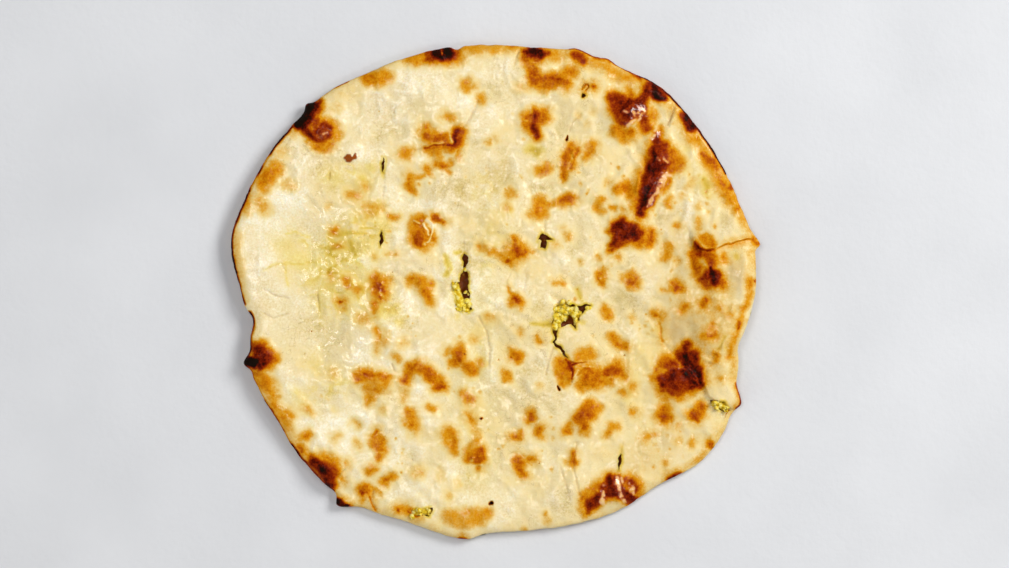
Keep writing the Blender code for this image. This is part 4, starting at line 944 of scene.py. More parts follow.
# %% Fine relief
WRINKLE_SLANT = (0.8, 0.6)
STRETCHED_MORE = 0.4
STRETCH_SLANT, STRETCH_SWAY = 0.25, 0.3
CRINKLE_DEPTH, CRINKLE_MIDDLE = 0.65, 0.5
TIGHT_FROM, TIGHT_TO = 0.55, 0.85
CALM_SHARE, OILY_SHARE = 0.6, 0.8
PATTERNS |= {
    "wrinkle sway": (5, 13, 13, 7),
    "wrinkles": (0.42, 4.2, 10, 8),
    "slanted wrinkles": (0.42, 4.2, 10, 9),
    "wrinkle turn": (1.5, 45, 45, 10),
    "stretch marks": (0.3, 2.6, 12, 52),
    "puckers": (0.75, 7.5, 7.5, 11),
    "grit": (0.07, 1.5, 1.5, 12),
    "crinkle bend": (1.5, 6, 6, 28),
    "crinkles": (1, 5, 5, 30),
    "fine crinkles": (0.5, 2.5, 2.5, 31),
    "tight skin": (0.1, 2.4, 2.4, 13),
    "fine tight skin": (0.05, 1.2, 1.2, 14),
    "oily lumps": (0.24, 2.1, 2.1, 46),
    "fine oily lumps": (0.1, 1.3, 1.3, 47),
}


def zone(name, x, y):
    """How far each place lies in a zone, from 0 outside to 1 inside."""
    level = np.ones_like(x, dtype=float)
    for axis, start, full in ZONES[name]:
        level = level * between(x if axis == "x" else y, (start, full))
    return level


def fine_relief(x, y, scorch):
    """Wrinkles, puckers, grit and the bubbly skin of the scorched places."""
    sway = lumps("wrinkle sway", x, y)
    c, s = WRINKLE_SLANT
    wrinkles = lumps("wrinkles", x + sway, y)
    slanted = lumps("slanted wrinkles", c * x + s * y + sway, c * y - s * x)
    turn = smooth(0.5 + lumps("wrinkle turn", x, y))
    stretched = zone("stretched", x, y)
    height = (wrinkles * (1.0 - turn) + slanted * turn) * (1.0 + STRETCHED_MORE * stretched)
    height += stretched * lumps("stretch marks", x - STRETCH_SLANT * y + STRETCH_SWAY * sway, y)
    height += lumps("puckers", x, y) + lumps("grit", x, y)
    bend_x, bend_y = nudge("crinkle bend", x, y)
    crinkle = np.abs(lumps("crinkles", x + bend_x, y + bend_y))
    crinkle += np.abs(lumps("fine crinkles", x + bend_x, y + bend_y))
    height -= CRINKLE_DEPTH * (crinkle - CRINKLE_MIDDLE)
    skin = np.abs(lumps("tight skin", x, y)) + np.abs(lumps("fine tight skin", x, y))
    height += skin * between(scorch, (TIGHT_FROM, TIGHT_TO))
    height *= 1.0 - CALM_SHARE * zone("calm", x, y)
    oily = paint(x, y, OILY_STROKES)
    height *= 1.0 - OILY_SHARE * oily
    return height + oily * (lumps("oily lumps", x, y) + lumps("fine oily lumps", x, y))


sample = fine_relief(outline[:, 0], outline[:, 1], np.zeros(len(outline)))
print("fine relief along the outline:", sample.min().round(2), "to", sample.max().round(2), "mm")

# %% [markdown]
# ## Tears
# The upper layer has burst or torn in a few places, and the cheese shows in them. A tear goes right
# through the upper layer, so it is a closed line that the mesh leaves open, with a ragged edge. It could
# be cut out of a finished mesh, but then its edge would follow the mesh instead of the tear.

# %% Lines of the tears
TEARS = {
    "main hole": [
        (31, -13), (33, -8), (37, -6.5), (42, -7.4), (47, -7.6), (52, -7.2), (49.5, -9.5), (47.5, -12.3),
        (45.5, -14), (44, -17), (43.3, -20), (41, -18.2), (38, -18.6), (34.5, -20.2), (32.8, -23),
        (33, -25.6), (32.7, -27.6), (34.2, -29.2), (36.6, -31.4), (37.4, -33.2), (39, -36.6),
        (36.8, -34.6), (34.9, -31.8), (32.6, -29.8), (31.4, -28), (32, -25.4), (31, -22.4),
        (31.2, -20.4), (30.6, -18),
    ],
    "long tear": [
        (-17, 20), (-15.5, 18.6), (-15, 15), (-16.1, 12.2), (-14.4, 9), (-14.3, 5), (-15.2, 1.4),
        (-14, -2), (-14.7, -6), (-13.2, -10), (-15.8, -12), (-19.4, -10), (-20.6, -6), (-22, -2),
        (-23.6, 2), (-22.8, 4.4), (-19, 4.4), (-18.8, 8), (-17.3, 11.2), (-17, 14), (-18.2, 17),
    ],
    "small hole": [
        (22.4, 28.1), (25.7, 30.8), (28, 30), (31, 27.9), (28, 28.3), (27, 23.5), (24, 23.2), (24.8, 27),
    ],
    "opening at the lower rim": [(-46, -118), (-40, -118), (-34, -117), (-36, -122), (-44, -121)],
    "opening at the right rim": [
        (116, -58.4), (121, -59), (125.8, -62.4), (124, -65.2), (119, -63.6), (116.8, -61.2),
    ],
}
# Narrow slits: middle x and y, length, width, turn in degrees.
SLITS = [
    (-60.7, 68, 8, 1.3, 90),
    (-61.5, 28, 10, 1.8, 88),
    (67.3, -92, 10, 1.6, 80),
    (47.5, 105.5, 3.5, 1.8, 50),
]
print(len(TEARS), "tears and", len(SLITS), "slits")

# %% Ragged tears
# Corners of a slit, as shares of its length and width.
SLIT_CORNERS = [(-0.5, 0.0), (-0.2, -0.45), (0.2, -0.5), (0.5, 0.0), (0.2, 0.5), (-0.2, 0.45)]
TEAR_POINTS = 0.7
PAIRS_AT_ONCE = 2_000_000
LEAST_RISE = 1e-12
PATTERNS |= {
    "tear edge coarse": (0.65, 2.4, 2.4, 15),
    "tear edge fine": (0.28, 0.9, 0.9, 17),
}


def ragged(points):
    """A closed line with points at an even spacing, moved in and out as torn dough is."""
    corners = np.array(points, dtype=float)
    row = []
    for here, after in zip(corners, np.roll(corners, -1, axis=0)):
        steps = max(1, round(float(np.linalg.norm(after - here)) / TEAR_POINTS))
        for k in range(steps):
            row.append(here + (after - here) * k / steps)
    row = np.array(row)
    coarse = np.column_stack(nudge("tear edge coarse", row[:, 0], row[:, 1]))
    fine = np.column_stack(nudge("tear edge fine", row[:, 0], row[:, 1]))
    return row + coarse + fine


def slit(middle_x, middle_y, length, width, turn):
    """A pointed opening with two bowed sides."""
    c, s = np.cos(np.radians(turn)), np.sin(np.radians(turn))
    return [
        (middle_x + a * length * c - b * width * s, middle_y + a * length * s + b * width * c)
        for a, b in SLIT_CORNERS
    ]


def inside(points, loop):
    """Whether each place lies inside a closed line, by counting the sides that a ray crosses."""
    found = np.zeros(len(points), dtype=bool)
    low, high = loop.min(axis=0), loop.max(axis=0)
    near = np.all((points >= low) & (points <= high), axis=1)
    x, y = points[near, 0:1], points[near, 1:2]
    ax, ay = loop[:, 0], loop[:, 1]
    bx, by = np.roll(ax, -1), np.roll(ay, -1)
    rise = np.where(by == ay, LEAST_RISE, by - ay)
    crossed = ((ay > y) != (by > y)) & (x < (bx - ax) * (y - ay) / rise + ax)
    found[near] = np.count_nonzero(crossed, axis=1) % 2 == 1
    return found


def distance_to(points, loop, reach):
    """Shortest distance from each place to a closed line, for the places within a reach of it."""
    found = np.full(len(points), reach)
    low, high = loop.min(axis=0) - reach, loop.max(axis=0) + reach
    near = np.flatnonzero(np.all((points > low) & (points < high), axis=1))
    run = np.roll(loop, -1, axis=0) - loop
    for part in np.array_split(near, max(1, len(near) * len(loop) // PAIRS_AT_ONCE)):
        offset = points[part][:, None, :] - loop[None, :, :]
        t = np.clip((offset * run).sum(axis=2) / (run**2).sum(axis=1), 0.0, 1.0)
        away = np.linalg.norm(offset - t[..., None] * run, axis=2).min(axis=1)
        found[part] = np.minimum(away, reach)
    return found


tears = [ragged(points) for points in TEARS.values()] + [ragged(slit(*row)) for row in SLITS]
print(len(tears), "openings,", sum(len(loop) for loop in tears), "points round them")

# %% [markdown]
# ## How browned a place is
# Marks, freckles and pits, the rim and the plain dough are each worked out alone, and the highest counts.
# The level goes into the relief, because scorched skin is bubbly, and later into the colour.

# %% Freckles
# Small freckles lie in clusters: middle x and y, spread, count.
FRECKLE_CLUSTERS = [
    (108, 62, 14, 22), (98, 28, 18, 26), (88, -14, 18, 24), (92, -68, 16, 22), (60, 56, 14, 14),
    (50, 14, 16, 14), (18, -82, 18, 20), (-60, -92, 14, 16), (-100, -62, 9, 8), (-60, 48, 14, 12),
    (-54, -22, 14, 12), (-6, 60, 22, 14), (-20, -52, 18, 12),
]
FRECKLE_SCATTER, FRECKLE_SOFTNESS = 0.7, 2.0
FRECKLE_RADIUS, FRECKLE_LEVEL = (0.1, 0.9), (0.20, 0.42)
freckle_rng = np.random.default_rng(17)
freckle_strokes = []
for middle_x, middle_y, spread, count in FRECKLE_CLUSTERS:
    for _ in range(count):
        x, y = freckle_rng.normal((middle_x, middle_y), FRECKLE_SCATTER * spread)
        radius = freckle_rng.uniform(*FRECKLE_RADIUS)
        freckle_strokes.append((freckle_rng.uniform(*FRECKLE_LEVEL), FRECKLE_SOFTNESS, [(x, y, radius)]))
print(len(freckle_strokes), "freckles")

# %% Levels of scorching
MARK_SPREAD, MARK_SWELL = 1.95, 0.67
TORN_AND_GLINT_SWELL, TORN_AND_GLINT_PALER, TORN_AND_GLINT_BITS = 0.8, 0.66, 0.80
PIT_LEVEL, RIM_SPREAD = 1.05, 1.2
FINE_LINE_SHIFT, RIM_SHIFT = 0.5, 0.3
RIM_LEAST, RIM_WORN = 0.45, 0.62
WHOLE_RIM_FROM, WHOLE_RIM_WITHIN = 110.0, 30.0
DARK_RIM = (0.4, 0.7)
EDGE_TONE, EDGE_TONE_WIDTH = 0.20, 8.0
PATCH_TONE, WARM_RIGHT = 0.035, 0.035
# How much less of the edge's tone there is in a zone. On the rolled lip, which faces the light, the
# paler tone is painted light.
PALER_EDGE = {"lip": 0.8, "lower": 0.55, "left": 0.7}
PALER_LEFT = 0.5
PATTERNS |= {
    "torn and glint bits": (1, 1.6, 1.6, 51),
    "mark strength": (0.1, 3.2, 3.2, 40),
    "worn rim": (0.9, 7, 9, 42),
    "rim tone": (0.1, 17, 9, 25),
    "patches": (0.055, 19, 19, 26),
    "small patches": (0.05, 8, 8, 27),
}
# Tan tint: painted shade on the curled side's slope, which faces away from the light, and toasted dough
# along the upper right rim. Level, softness, beads.
SLOPE_SHADE_AND_RIM_TAN = [
    (0.1, 22, [(124, 12, 8), (119, -8, 11), (112, -26, 12), (109, -44, 8)]),
    (0.06, 12, [(98, -20, 5), (92, -30, 3)]), (0.05, 14, [(98, 30, 5), (100, 15, 5)]),
    (0.06, 8, [(130, 14, 3), (132, 6, 2)]), (0.1, 10, [(92, 103, 2), (99, 95, 3), (105, 82, 3)]),
    (0.09, 12, [(116, 68, 3), (124, 54, 4), (131, 41, 4)]),
]


def torn_and_glint_at(x, y):
    """Where the blistered skin tore and stayed pale, partly a painted highlight where oily skin glints."""
    bits = smooth(TORN_AND_GLINT_BITS + lumps("torn and glint bits", x, y))
    return bits * paint(*shifted(x, y, FINE_LINE_SHIFT), TORN_SKIN_AND_GLINTS, swell=TORN_AND_GLINT_SWELL)


def marks_at(x, y):
    """Scorch marks, pits and freckles."""
    sx, sy = shifted(x, y)
    marks = paint(sx, sy, scorch_strokes, MARK_SPREAD, HALO, MARK_SWELL)
    marks = marks * (1.0 + lumps("mark strength", x, y)) * (1.0 - paint(sx, sy, PALE_FLECKS_AND_GLINTS))
    marks = marks * (1.0 - TORN_AND_GLINT_PALER * torn_and_glint_at(x, y))
    marks = np.maximum(marks, PIT_LEVEL * paint(*shifted(x, y, FINE_LINE_SHIFT), pit_strokes))
    return np.maximum(marks, paint(sx, sy, freckle_strokes))


def rim_at(x, y, around, inset):
    """The browned rim. It is worn in places, but whole where it is dark at the upper right."""
    rim = paint(*shifted(x, y, RIM_SHIFT), rim_strokes, RIM_SPREAD)
    worn = RIM_LEAST + (1.0 - RIM_LEAST) * smooth(RIM_WORN + lumps("worn rim", around, inset))
    whole = smooth((x + y - WHOLE_RIM_FROM) / WHOLE_RIM_WITHIN) * between(rim, DARK_RIM)
    return rim * (worn + (1.0 - worn) * whole)


def scorch_at(x, y):
    """How browned the upper face is, from 0 to 1, with painted shade on the curled side's slope."""
    inset = inset_at(x, y)
    around = np.arctan2(y, x) * ABOUT_RADIUS
    marks = marks_at(x, y)
    edge = EDGE_TONE + lumps("rim tone", around, inset)
    edge = edge * between(inset, (EDGE_TONE_WIDTH, 0.0))
    for name, share in PALER_EDGE.items():
        edge = edge * (1.0 - share * zone(name, x, y))
    patches = PATCH_TONE + lumps("patches", x, y) + lumps("small patches", x, y)
    # Tan on the curled side's slope is painted shade; the lip keeps none of it.
    warm_and_slope_shade = WARM_RIGHT * zone("right", x, y) + paint(x, y, SLOPE_SHADE_AND_RIM_TAN)
    plain = np.maximum(patches + warm_and_slope_shade * (1.0 - zone("lip", x, y)), 0.0)
    plain = plain * (1.0 - marks) * (1.0 - PALER_LEFT * zone("left", x, y))
    return np.maximum(np.maximum(marks, rim_at(x, y, around, inset)), edge) + plain


along_rim_scorch = scorch_at(outline[:, 0], outline[:, 1])
print("the rim is browned from", along_rim_scorch.min().round(2), "to", along_rim_scorch.max().round(2))

# %% [markdown]
# ## Surfaces of the bread
# The upper face adds the fine relief to the form. The underside lies flat, and the pocket for the
# cheese follows it. Each is a function that gives a height for any place.

# %% Heights of the four surfaces
POCKET_MARGIN, POCKET_POINTS = 13.0, 180
# Where the pocket reaches nearer to the outline: angle, half width in degrees, least margin.
POCKET_REACHES = [(250.5, 9, 2.4), (332.5, 9, 2.4)]
REACH_START = 1.6
CEILING_SHARE = 0.5
UNDER_HOLLOW = 0.25
LEVEL_DOUGH, HOLLOW_PER_MM = 0.5, 0.45
PATTERNS |= {
    "crease edge": (0.4, 3, 3, 19),
    "underside": (0.25, 9, 9, 21),
}


def flake_at(x, y):
    """Height of the burnt flake, which has steep sides."""
    line = np.array(FLAKE, dtype=float)
    places = np.column_stack([x, y])
    depth = np.where(inside(places, line), distance_to(places, line, 3.0), 0.0)
    return smooth(depth / FLAKE_SIDE)


def top(x, y):
    """Upper face of the bread."""
    inset = inset_at(x, y)
    body = THICKNESS - EDGE_THINNING * between(inset, (THINNING_WIDTH, 0.0))
    body = body + waves(x, y) * smooth(inset / THINNING_WIDTH)
    body = body + blisters(x, y) + folds(x, y) + fine_relief(x, y, scorch_at(x, y))
    off_x, off_y = nudge("crease edge", x, y)
    body = body + paint(x + off_x, y + off_y, BUBBLES) - paint(x + off_x, y + off_y, CREASES)
    body = body - PIT_DEPTH * paint(x, y, pit_strokes) + FLAKE_THICKNESS * flake_at(x, y)
    return lift(x, y) + EDGE_MIDDLE + (body - EDGE_MIDDLE) * edge_round(inset, TOP_ROUND)


def hollow_at(x, y):
    """How far a place lies in a small hollow of the relief, for painted shade there and light on crests.
    """
    return np.clip(LEVEL_DOUGH - HOLLOW_PER_MM * fine_relief(x, y, np.zeros_like(x)), 0.0, 1.0)


def underside(x, y):
    """Lower face of the bread, with shallow hollows."""
    inset = inset_at(x, y)
    hollows = (UNDER_HOLLOW + lumps("underside", x, y)) * smooth(inset / UNDER_ROUND)
    return lift(x, y) + EDGE_MIDDLE * (1.0 - edge_round(inset, UNDER_ROUND)) + hollows


def pocket_floor(x, y):
    """Upper face of the lower layer of dough."""
    return lift(x, y) + LOWER_DOUGH


def pocket_ceiling(x, y):
    """Lower face of the upper layer of dough. Half of its waves and thinning show below."""
    inset = inset_at(x, y)
    uneven = waves(x, y) * smooth(inset / THINNING_WIDTH)
    uneven = uneven - EDGE_THINNING * between(inset, (THINNING_WIDTH, 0.0))
    return pocket_floor(x, y) + POCKET + CEILING_SHARE * uneven


def pocket_margin(degrees):
    """Width of the joined rim outside the pocket."""
    margin = np.full_like(degrees, POCKET_MARGIN, dtype=float)
    for angle, half_width, least in POCKET_REACHES:
        away = np.abs(np.mod(degrees - angle + 180.0, 360.0) - 180.0)
        margin = margin - (POCKET_MARGIN - least) * smooth(REACH_START - away / half_width)
    return margin


def pocket_loop(clearance):
    """Edge of the pocket, or of the cheese a clearance inside it."""
    degrees = np.arange(POCKET_POINTS) * 360.0 / POCKET_POINTS
    return loop_at(pocket_margin(degrees) + clearance, POCKET_POINTS)


middle_height = top(np.zeros(1), np.zeros(1))[0] - underside(np.zeros(1), np.zeros(1))[0]
print("the middle is", round(float(middle_height), 1), "mm thick")

# %% [markdown]
# ## Mesh of the bread
# The mesh is drawn in plan first: a triangular lattice with closer points where the surface has fine
# lines, joined into triangles by a Delaunay triangulation that keeps the outline and the tears. Then
# every point gets its height. A subdivided grid would need far more points for the same ragged tears.

# %% Points in plan
TOP_STEP, FINE_STEP = 1.12, 0.56
POCKET_STEP = 8.0
FINE_REACH, LEAST_FINE = 2.2, 0.05
LATTICE_REACH = 160
# Share of the step that a lattice keeps from the outline, and from the edge of the pocket.
RIM_CLEAR, POCKET_CLEAR = 0.8, 0.4
KEEP_INSIDE, MERGE_DISTANCE = 1, 1e-5


def lattice(step):
    """Triangular lattice over the whole bread."""
    reach = int(LATTICE_REACH / step) + 1
    rows, columns = np.mgrid[-reach:reach + 1, -2 * reach:2 * reach + 1]
    x = ((columns + 0.5 * rows) * step).ravel()
    y = (rows * step * np.sqrt(0.75)).ravel()
    points = np.column_stack([x, y])
    return points[rim_distance(x, y) > RIM_CLEAR * step]


def pocket_lattice(edge):
    """Wide lattice inside the edge of the pocket or of the cheese."""
    points = lattice(POCKET_STEP)
    points = points[inside(points, edge)]
    return points[distance_to(points, edge, POCKET_STEP) > POCKET_CLEAR * POCKET_STEP]


def clear_of(points, loops, clearance):
    """The points that lie outside every tear and away from its edge."""
    for loop in loops:
        near = distance_to(points, loop, 2.0 * clearance) < clearance
        points = points[~(near | inside(points, loop))]
    return points


def sheet(outer, holes, free):
    """Triangles in plan between an outer line and holes. The points keep the order given."""
    coords, edges = [], []
    for row in [outer] + holes:
        start, count = len(coords), len(row)
        coords += [Vector(p) for p in row]
        edges += [(start + k, start + (k + 1) % count) for k in range(count)]
    coords += [Vector(p) for p in free]
    found, _, faces, sources, _, _ = delaunay_2d_cdt(coords, edges, [], KEEP_INSIDE, MERGE_DISTANCE)
    place = np.array([source[0] for source in sources])
    points = np.zeros((len(coords), 2))
    points[place] = [tuple(p) for p in found]
    triangles = place[np.array(faces)]
    middles = points[triangles].mean(axis=1)
    for hole in holes:
        outside = ~inside(middles, hole)
        triangles, middles = triangles[outside], middles[outside]
    return points, triangles


def needs_fine(points):
    """Whether a place lies near a tear, fold, crease, pit, bubble or the flake."""
    x, y = points[:, 0], points[:, 1]
    near = np.zeros(len(points), dtype=bool)
    for loop in tears + [np.array(FLAKE)]:
        near |= distance_to(points, loop, 2.0 * FINE_REACH) < FINE_REACH
    for line in FOLD_LINES.values():
        side, past = side_of_line(x, y, line)
        near |= (np.abs(side) < FINE_REACH) & (past < FINE_REACH)
    lines = [(1.0, soft + 1.0, beads) for _, soft, beads in CREASES + BUBBLES + OILY_STROKES + pit_strokes]
    return near | (paint(x, y, lines) > LEAST_FINE)


print(len(lattice(TOP_STEP)), "points in the wide lattice")

# %% Points of the upper face
RIM_INSETS = (0.35, 0.85, 1.6, 2.6)
INSIDE_RIM_ROWS = 3.1

wide_points = lattice(TOP_STEP)
fine_points = lattice(FINE_STEP)
top_free = np.vstack([wide_points[~needs_fine(wide_points)], fine_points[needs_fine(fine_points)]])
top_free = top_free[rim_distance(top_free[:, 0], top_free[:, 1]) > INSIDE_RIM_ROWS]
top_free = clear_of(top_free, tears, 0.5 * TEAR_POINTS)
rim_rows = [loop_at(inset) for inset in RIM_INSETS]
print(len(top_free), "points inside the rim")

# %% [markdown]
# The bread is one closed mesh: the upper face, the underside that shares its outline, and the pocket
# inside, whose ceiling is joined to the upper face round each tear. Two cut blocks could be joined by a
# boolean, but that leaves ragged triangles along the joint.

# %% Make the bread
UNDER_STEP, UNDER_CLEAR, CEILING_CLEAR = 3.4, 4.5, 1.5
# Rows of points along the edge of the underside: inset, and how many times fewer points than the outline.
UNDER_ROWS = ((0.4, 1), (1.2, 2), (2.6, 3))


class Body:
    """A closed mesh that grows sheet by sheet."""

    def __init__(self):
        self.places = np.zeros((0, 3))
        self.triangles = []

    def add_sheet(self, plan, height, shared=None, up=True):
        """Adds a sheet at its heights. Its first points may exist already."""
        points, triangles = plan
        kept = 0 if shared is None else len(shared)
        z = height(points[:, 0], points[:, 1])
        fresh = np.arange(len(points) - kept) + len(self.places)
        numbers = fresh if shared is None else np.concatenate([shared, fresh])
        self.places = np.vstack([self.places, np.column_stack([points, z])[kept:]])
        corners = numbers[triangles]
        self.triangles.append(corners if up else corners[:, ::-1])
        return numbers

    def add_wall(self, row, other):
        """Joins two closed rows of the same number of points."""
        after, other_after = np.roll(row, -1), np.roll(other, -1)
        self.triangles.append(np.column_stack([row, after, other_after]))
        self.triangles.append(np.column_stack([row, other_after, other]))

    def make(self, name):
        """Turns the body into an object in metres, with the middle of its outline over the origin."""
        shift = np.array([*cad_middle, 0.0])
        mesh = bpy.data.meshes.new(name)
        triangles = np.vstack(self.triangles)
        mesh.from_pydata(((self.places - shift) * MM).tolist(), [], triangles.tolist())
        mesh.shade_smooth()
        made = bpy.data.objects.new(name, mesh)
        bpy.context.scene.collection.objects.link(made)
        print(name, len(mesh.vertices), "points", len(mesh.polygons), "triangles")
        return made


def spans(rows):
    """Numbers of the points of each row, in the order in which a sheet keeps them."""
    ends = np.cumsum([len(row) for row in rows])
    return [np.arange(end - len(row), end) for row, end in zip(rows, ends)]


body = Body()
top_plan = sheet(outline, tears, np.vstack(rim_rows + [top_free]))
top_numbers = body.add_sheet(top_plan, top)
under_free = lattice(UNDER_STEP)
under_free = under_free[rim_distance(under_free[:, 0], under_free[:, 1]) > UNDER_CLEAR]
under_rows = [loop_at(inset, RIM_POINTS // fewer) for inset, fewer in UNDER_ROWS]
under_plan = sheet(outline, [], np.vstack(under_rows + [under_free]))
under_numbers = body.add_sheet(under_plan, underside, top_numbers[:RIM_POINTS], up=False)

pocket_edge = pocket_loop(0.0)
pocket_free = pocket_lattice(pocket_edge)
ceiling_plan = sheet(pocket_edge, tears, clear_of(pocket_free, tears, CEILING_CLEAR))
ceiling = body.add_sheet(ceiling_plan, pocket_ceiling, up=False)
floor_numbers = body.add_sheet(sheet(pocket_edge, [], pocket_free), pocket_floor)
body.add_wall(ceiling[:POCKET_POINTS], floor_numbers[:POCKET_POINTS])
for above, below in zip(spans([outline] + tears)[1:], spans([pocket_edge] + tears)[1:]):
    body.add_wall(top_numbers[above][::-1], ceiling[below][::-1])
bread = body.make("naan_bread")

# %% [markdown]
# ## What each place of the dough is like
# The material needs to know more than the height: how browned a place is, where cheese stains the
# dough yellow, where it is glossy with butter, and where shade is painted, in creases and on the slope
# that faces away from the light. Each is one number on every point of the mesh, which the material
# then reads.

# %% Yellow stains
YELLOW_STAINS = [
    (0.55, 5, [(19, 77, 3), (24, 75, 2.5)]), (0.45, 5, [(-67, 67, 3)]),
    (0.6, 2.5, [(-89, 65, 0.8), (-90, 61, 1)]), (0.4, 5, [(-105, 27, 2)]),
    (0.75, 2.5, [(-114, 14.5, 0.8), (-105, 15.5, 1), (-97, 16, 1), (-91, 17, 0.6)]),
    (0.6, 1.8, [(-113.3, 14, 0.4), (-112.8, 3, 0.4)]),
    (0.6, 2, [(-112, 31, 0.6), (-106, 31.5, 0.6), (-101, 29, 0.6)]),
    (0.7, 2, [(-103.5, 27, 0.8), (-102, 24.5, 0.6)]),
    (0.45, 2, [(-125, 11, 0.5), (-118, 14.5, 0.6), (-113, 15, 0.6)]),
    (0.8, 2.5, [(-90, 29, 1), (-85.6, 25.5, 1.2)]),
    (0.8, 2.5, [(-85, 30, 1.2), (-78, 31.5, 1.2), (-71.5, 31.5, 1)]),
    (0.9, 3, [(-79, 27, 1.6), (-77.5, 22, 2.2), (-75, 19.5, 1.4)]),
    (0.8, 2.5, [(-88, 20, 1.2), (-82, 17, 1.4), (-77, 16, 1)]),
    (0.8, 2.5, [(-77, 5, 1.4), (-72.5, 2, 1.6), (-70.5, -1, 1)]), (0.8, 2.5, [(-90, 8.5, 1.4)]),
    (0.55, 6, [(-62, -10, 4), (-54, -10, 3)]), (0.45, 6, [(-52, -16, 3)]),
    (0.75, 3, [(23, 73, 1.6), (20, 77, 2)]), (0.75, 2.5, [(113, 61, 1.4), (114, 54, 1.8)]),
    (0.75, 2.5, [(130, 19, 1.4)]), (0.65, 2, [(123.5, -24, 0.6), (120, -31, 0.9)]),
    (0.55, 2, [(123, -30, 0.5), (126, -33, 0.5)]),
    (0.7, 2, [(88.6, -17, 0.8), (89.3, -23, 0.9), (90, -27, 0.8)]),
    (0.62, 3, [
        (-83, 29.3, 0.8), (-79.5, 23, 1.6), (-76, 20, 1.8), (-81.3, 15.8, 1.4), (-87.6, 15, 1),
        (-92, 18.5, 0.6),
    ]),
    (0.5, 3, [(-92, 18.5, 0.8), (-103.8, 15.8, 1.2), (-113.7, 15, 0.6)]),
    (0.55, 3, [(-67.8, 43.7, 1.2), (-71.4, 36.5, 1.2), (-74, 32, 1), (-79, 27, 1.2)]),
    (0.5, 3, [(-63.3, 49, 0.9), (-63.3, 43, 1.2)]), (0.45, 3, [(-85.6, 6, 1.2), (-88, 1, 1)]),
    (0.45, 3, [(-73.2, 4.2, 1.5), (-71, -2, 1.5)]),
    (0.4, 2.5, [(-94.8, 1, 0.5), (-95.4, -9, 0.8), (-94.6, -18, 0.4)]),
    (0.5, 6, [(113, 61, 2), (114, 54, 3.5)]), (0.3, 4, [(103, 77, 2)]), (0.5, 4, [(130, 19, 1.5)]),
    (0.4, 4, [(7, 44, 2)]), (0.35, 6, [(-108, -55, 2.5)]),
    (0.9, 2.5, [(-26.5, 19, 1), (-25, 13, 1.4), (-27, 8, 1.2)]),
    (0.9, 2, [(-22, 21, 0.8), (-19, 21.5, 0.8)]), (0.8, 3, [(-20, -1, 2), (-18, -9, 2), (-13, -10, 1)]),
    (0.5, 4, [(-20, -14, 1.5)]), (0.9, 2.5, [(19.5, -17.3, 1), (25, -17.5, 1.2), (31, -17, 1.6)]),
    (0.9, 3, [(46.5, -5, 1.4), (44.5, 1, 1)]), (0.7, 3, [(47, -17, 1.5)]),
    (0.6, 2.5, [(23, 27, 0.8), (25, 32, 0.8)]), (0.6, 2.5, [(-60.5, 73, 0.6), (-60.5, 62, 0.8)]),
    (0.6, 2.5, [(-62.5, 31, 0.8), (-63, 26, 0.6)]), (0.6, 2.5, [(68.5, -84, 0.6), (66, -96, 0.8)]),
    (0.55, 4, [(-41, -121, 2)]), (0.7, 2.5, [(48, 110.5, 1.4)]), (0.3, 6, [(-62, -8, 3), (-58, -10, 3)]),
    (0.3, 5, [(-65, 42, 3)]), (0.3, 5, [(-73, 0, 2)]), (0.3, 5, [(88, -20, 2)]),
]
print(len(YELLOW_STAINS), "yellow stains")

# %% Zones with yellow veins
YELLOW_ZONES = [
    (1.1, 20, [(-112, 26, 6), (-98, 12, 10), (-80, 20, 16), (-66, 36, 10)]),
    (0.9, 20, [(-75, 60, 8), (-90, 62, 4)]), (1.1, 20, [(-90, -6, 8), (-68, 0, 8), (-60, -12, 5)]),
    (0.6, 16, [(-96, -38, 5), (-84, -50, 5), (-104, -58, 4)]),
    (0.7, 12, [(-24, 16, 3), (-20, -12, 4), (-22, 6, 3)]), (0.5, 14, [(100, 72, 3), (114, 56, 4)]),
    (0.5, 16, [(85, -22, 5), (70, -60, 3)]), (0.4, 30, [(0, 60, 10), (-15, -100, 10)]),
    (0.5, 14, [(22, -15, 3), (30, -20, 3)]),
]
print(len(YELLOW_ZONES), "zones with yellow veins")

# %% Shade and butter
# Painted shade where the curled right side faces away from the light, and darker, duller dough in a
# few other places: level, softness, beads.
SLOPE_SHADE_AND_DULL_DOUGH = [
    (0.54, 22, [(103, -10, 5), (96, -22, 6)]), (0.5, 14, [(128, 12, 5), (132, 4, 2)]),
    (0.34, 22, [(114, -14, 8), (112, -34, 6)]), (0.22, 22, [(100, 26, 8), (92, 50, 4)]),
    (0.18, 26, [(100, -72, 8), (92, -84, 8), (76, -92, 6)]),
    (0.12, 34, [(104, -20, 16), (100, 44, 12), (96, -66, 8)]), (0.14, 30, [(-60, 102, 8)]),
    (0.12, 30, [(0, 62, 10)]), (0.06, 16, [(-132, 28, 4), (-130, 8, 5)]),
]
BUTTER_STROKES = [
    (1, 40, [(-95, 45, 15), (-80, 0, 25), (-75, -40, 20)]),
    (0.4, 40, [(-40, 80, 20), (10, 70, 20), (30, 40, 15)]), (0.6, 40, [(0, -60, 20), (40, -90, 15)]),
]
print(len(SLOPE_SHADE_AND_DULL_DOUGH), "duller places and", len(BUTTER_STROKES), "buttered ones")

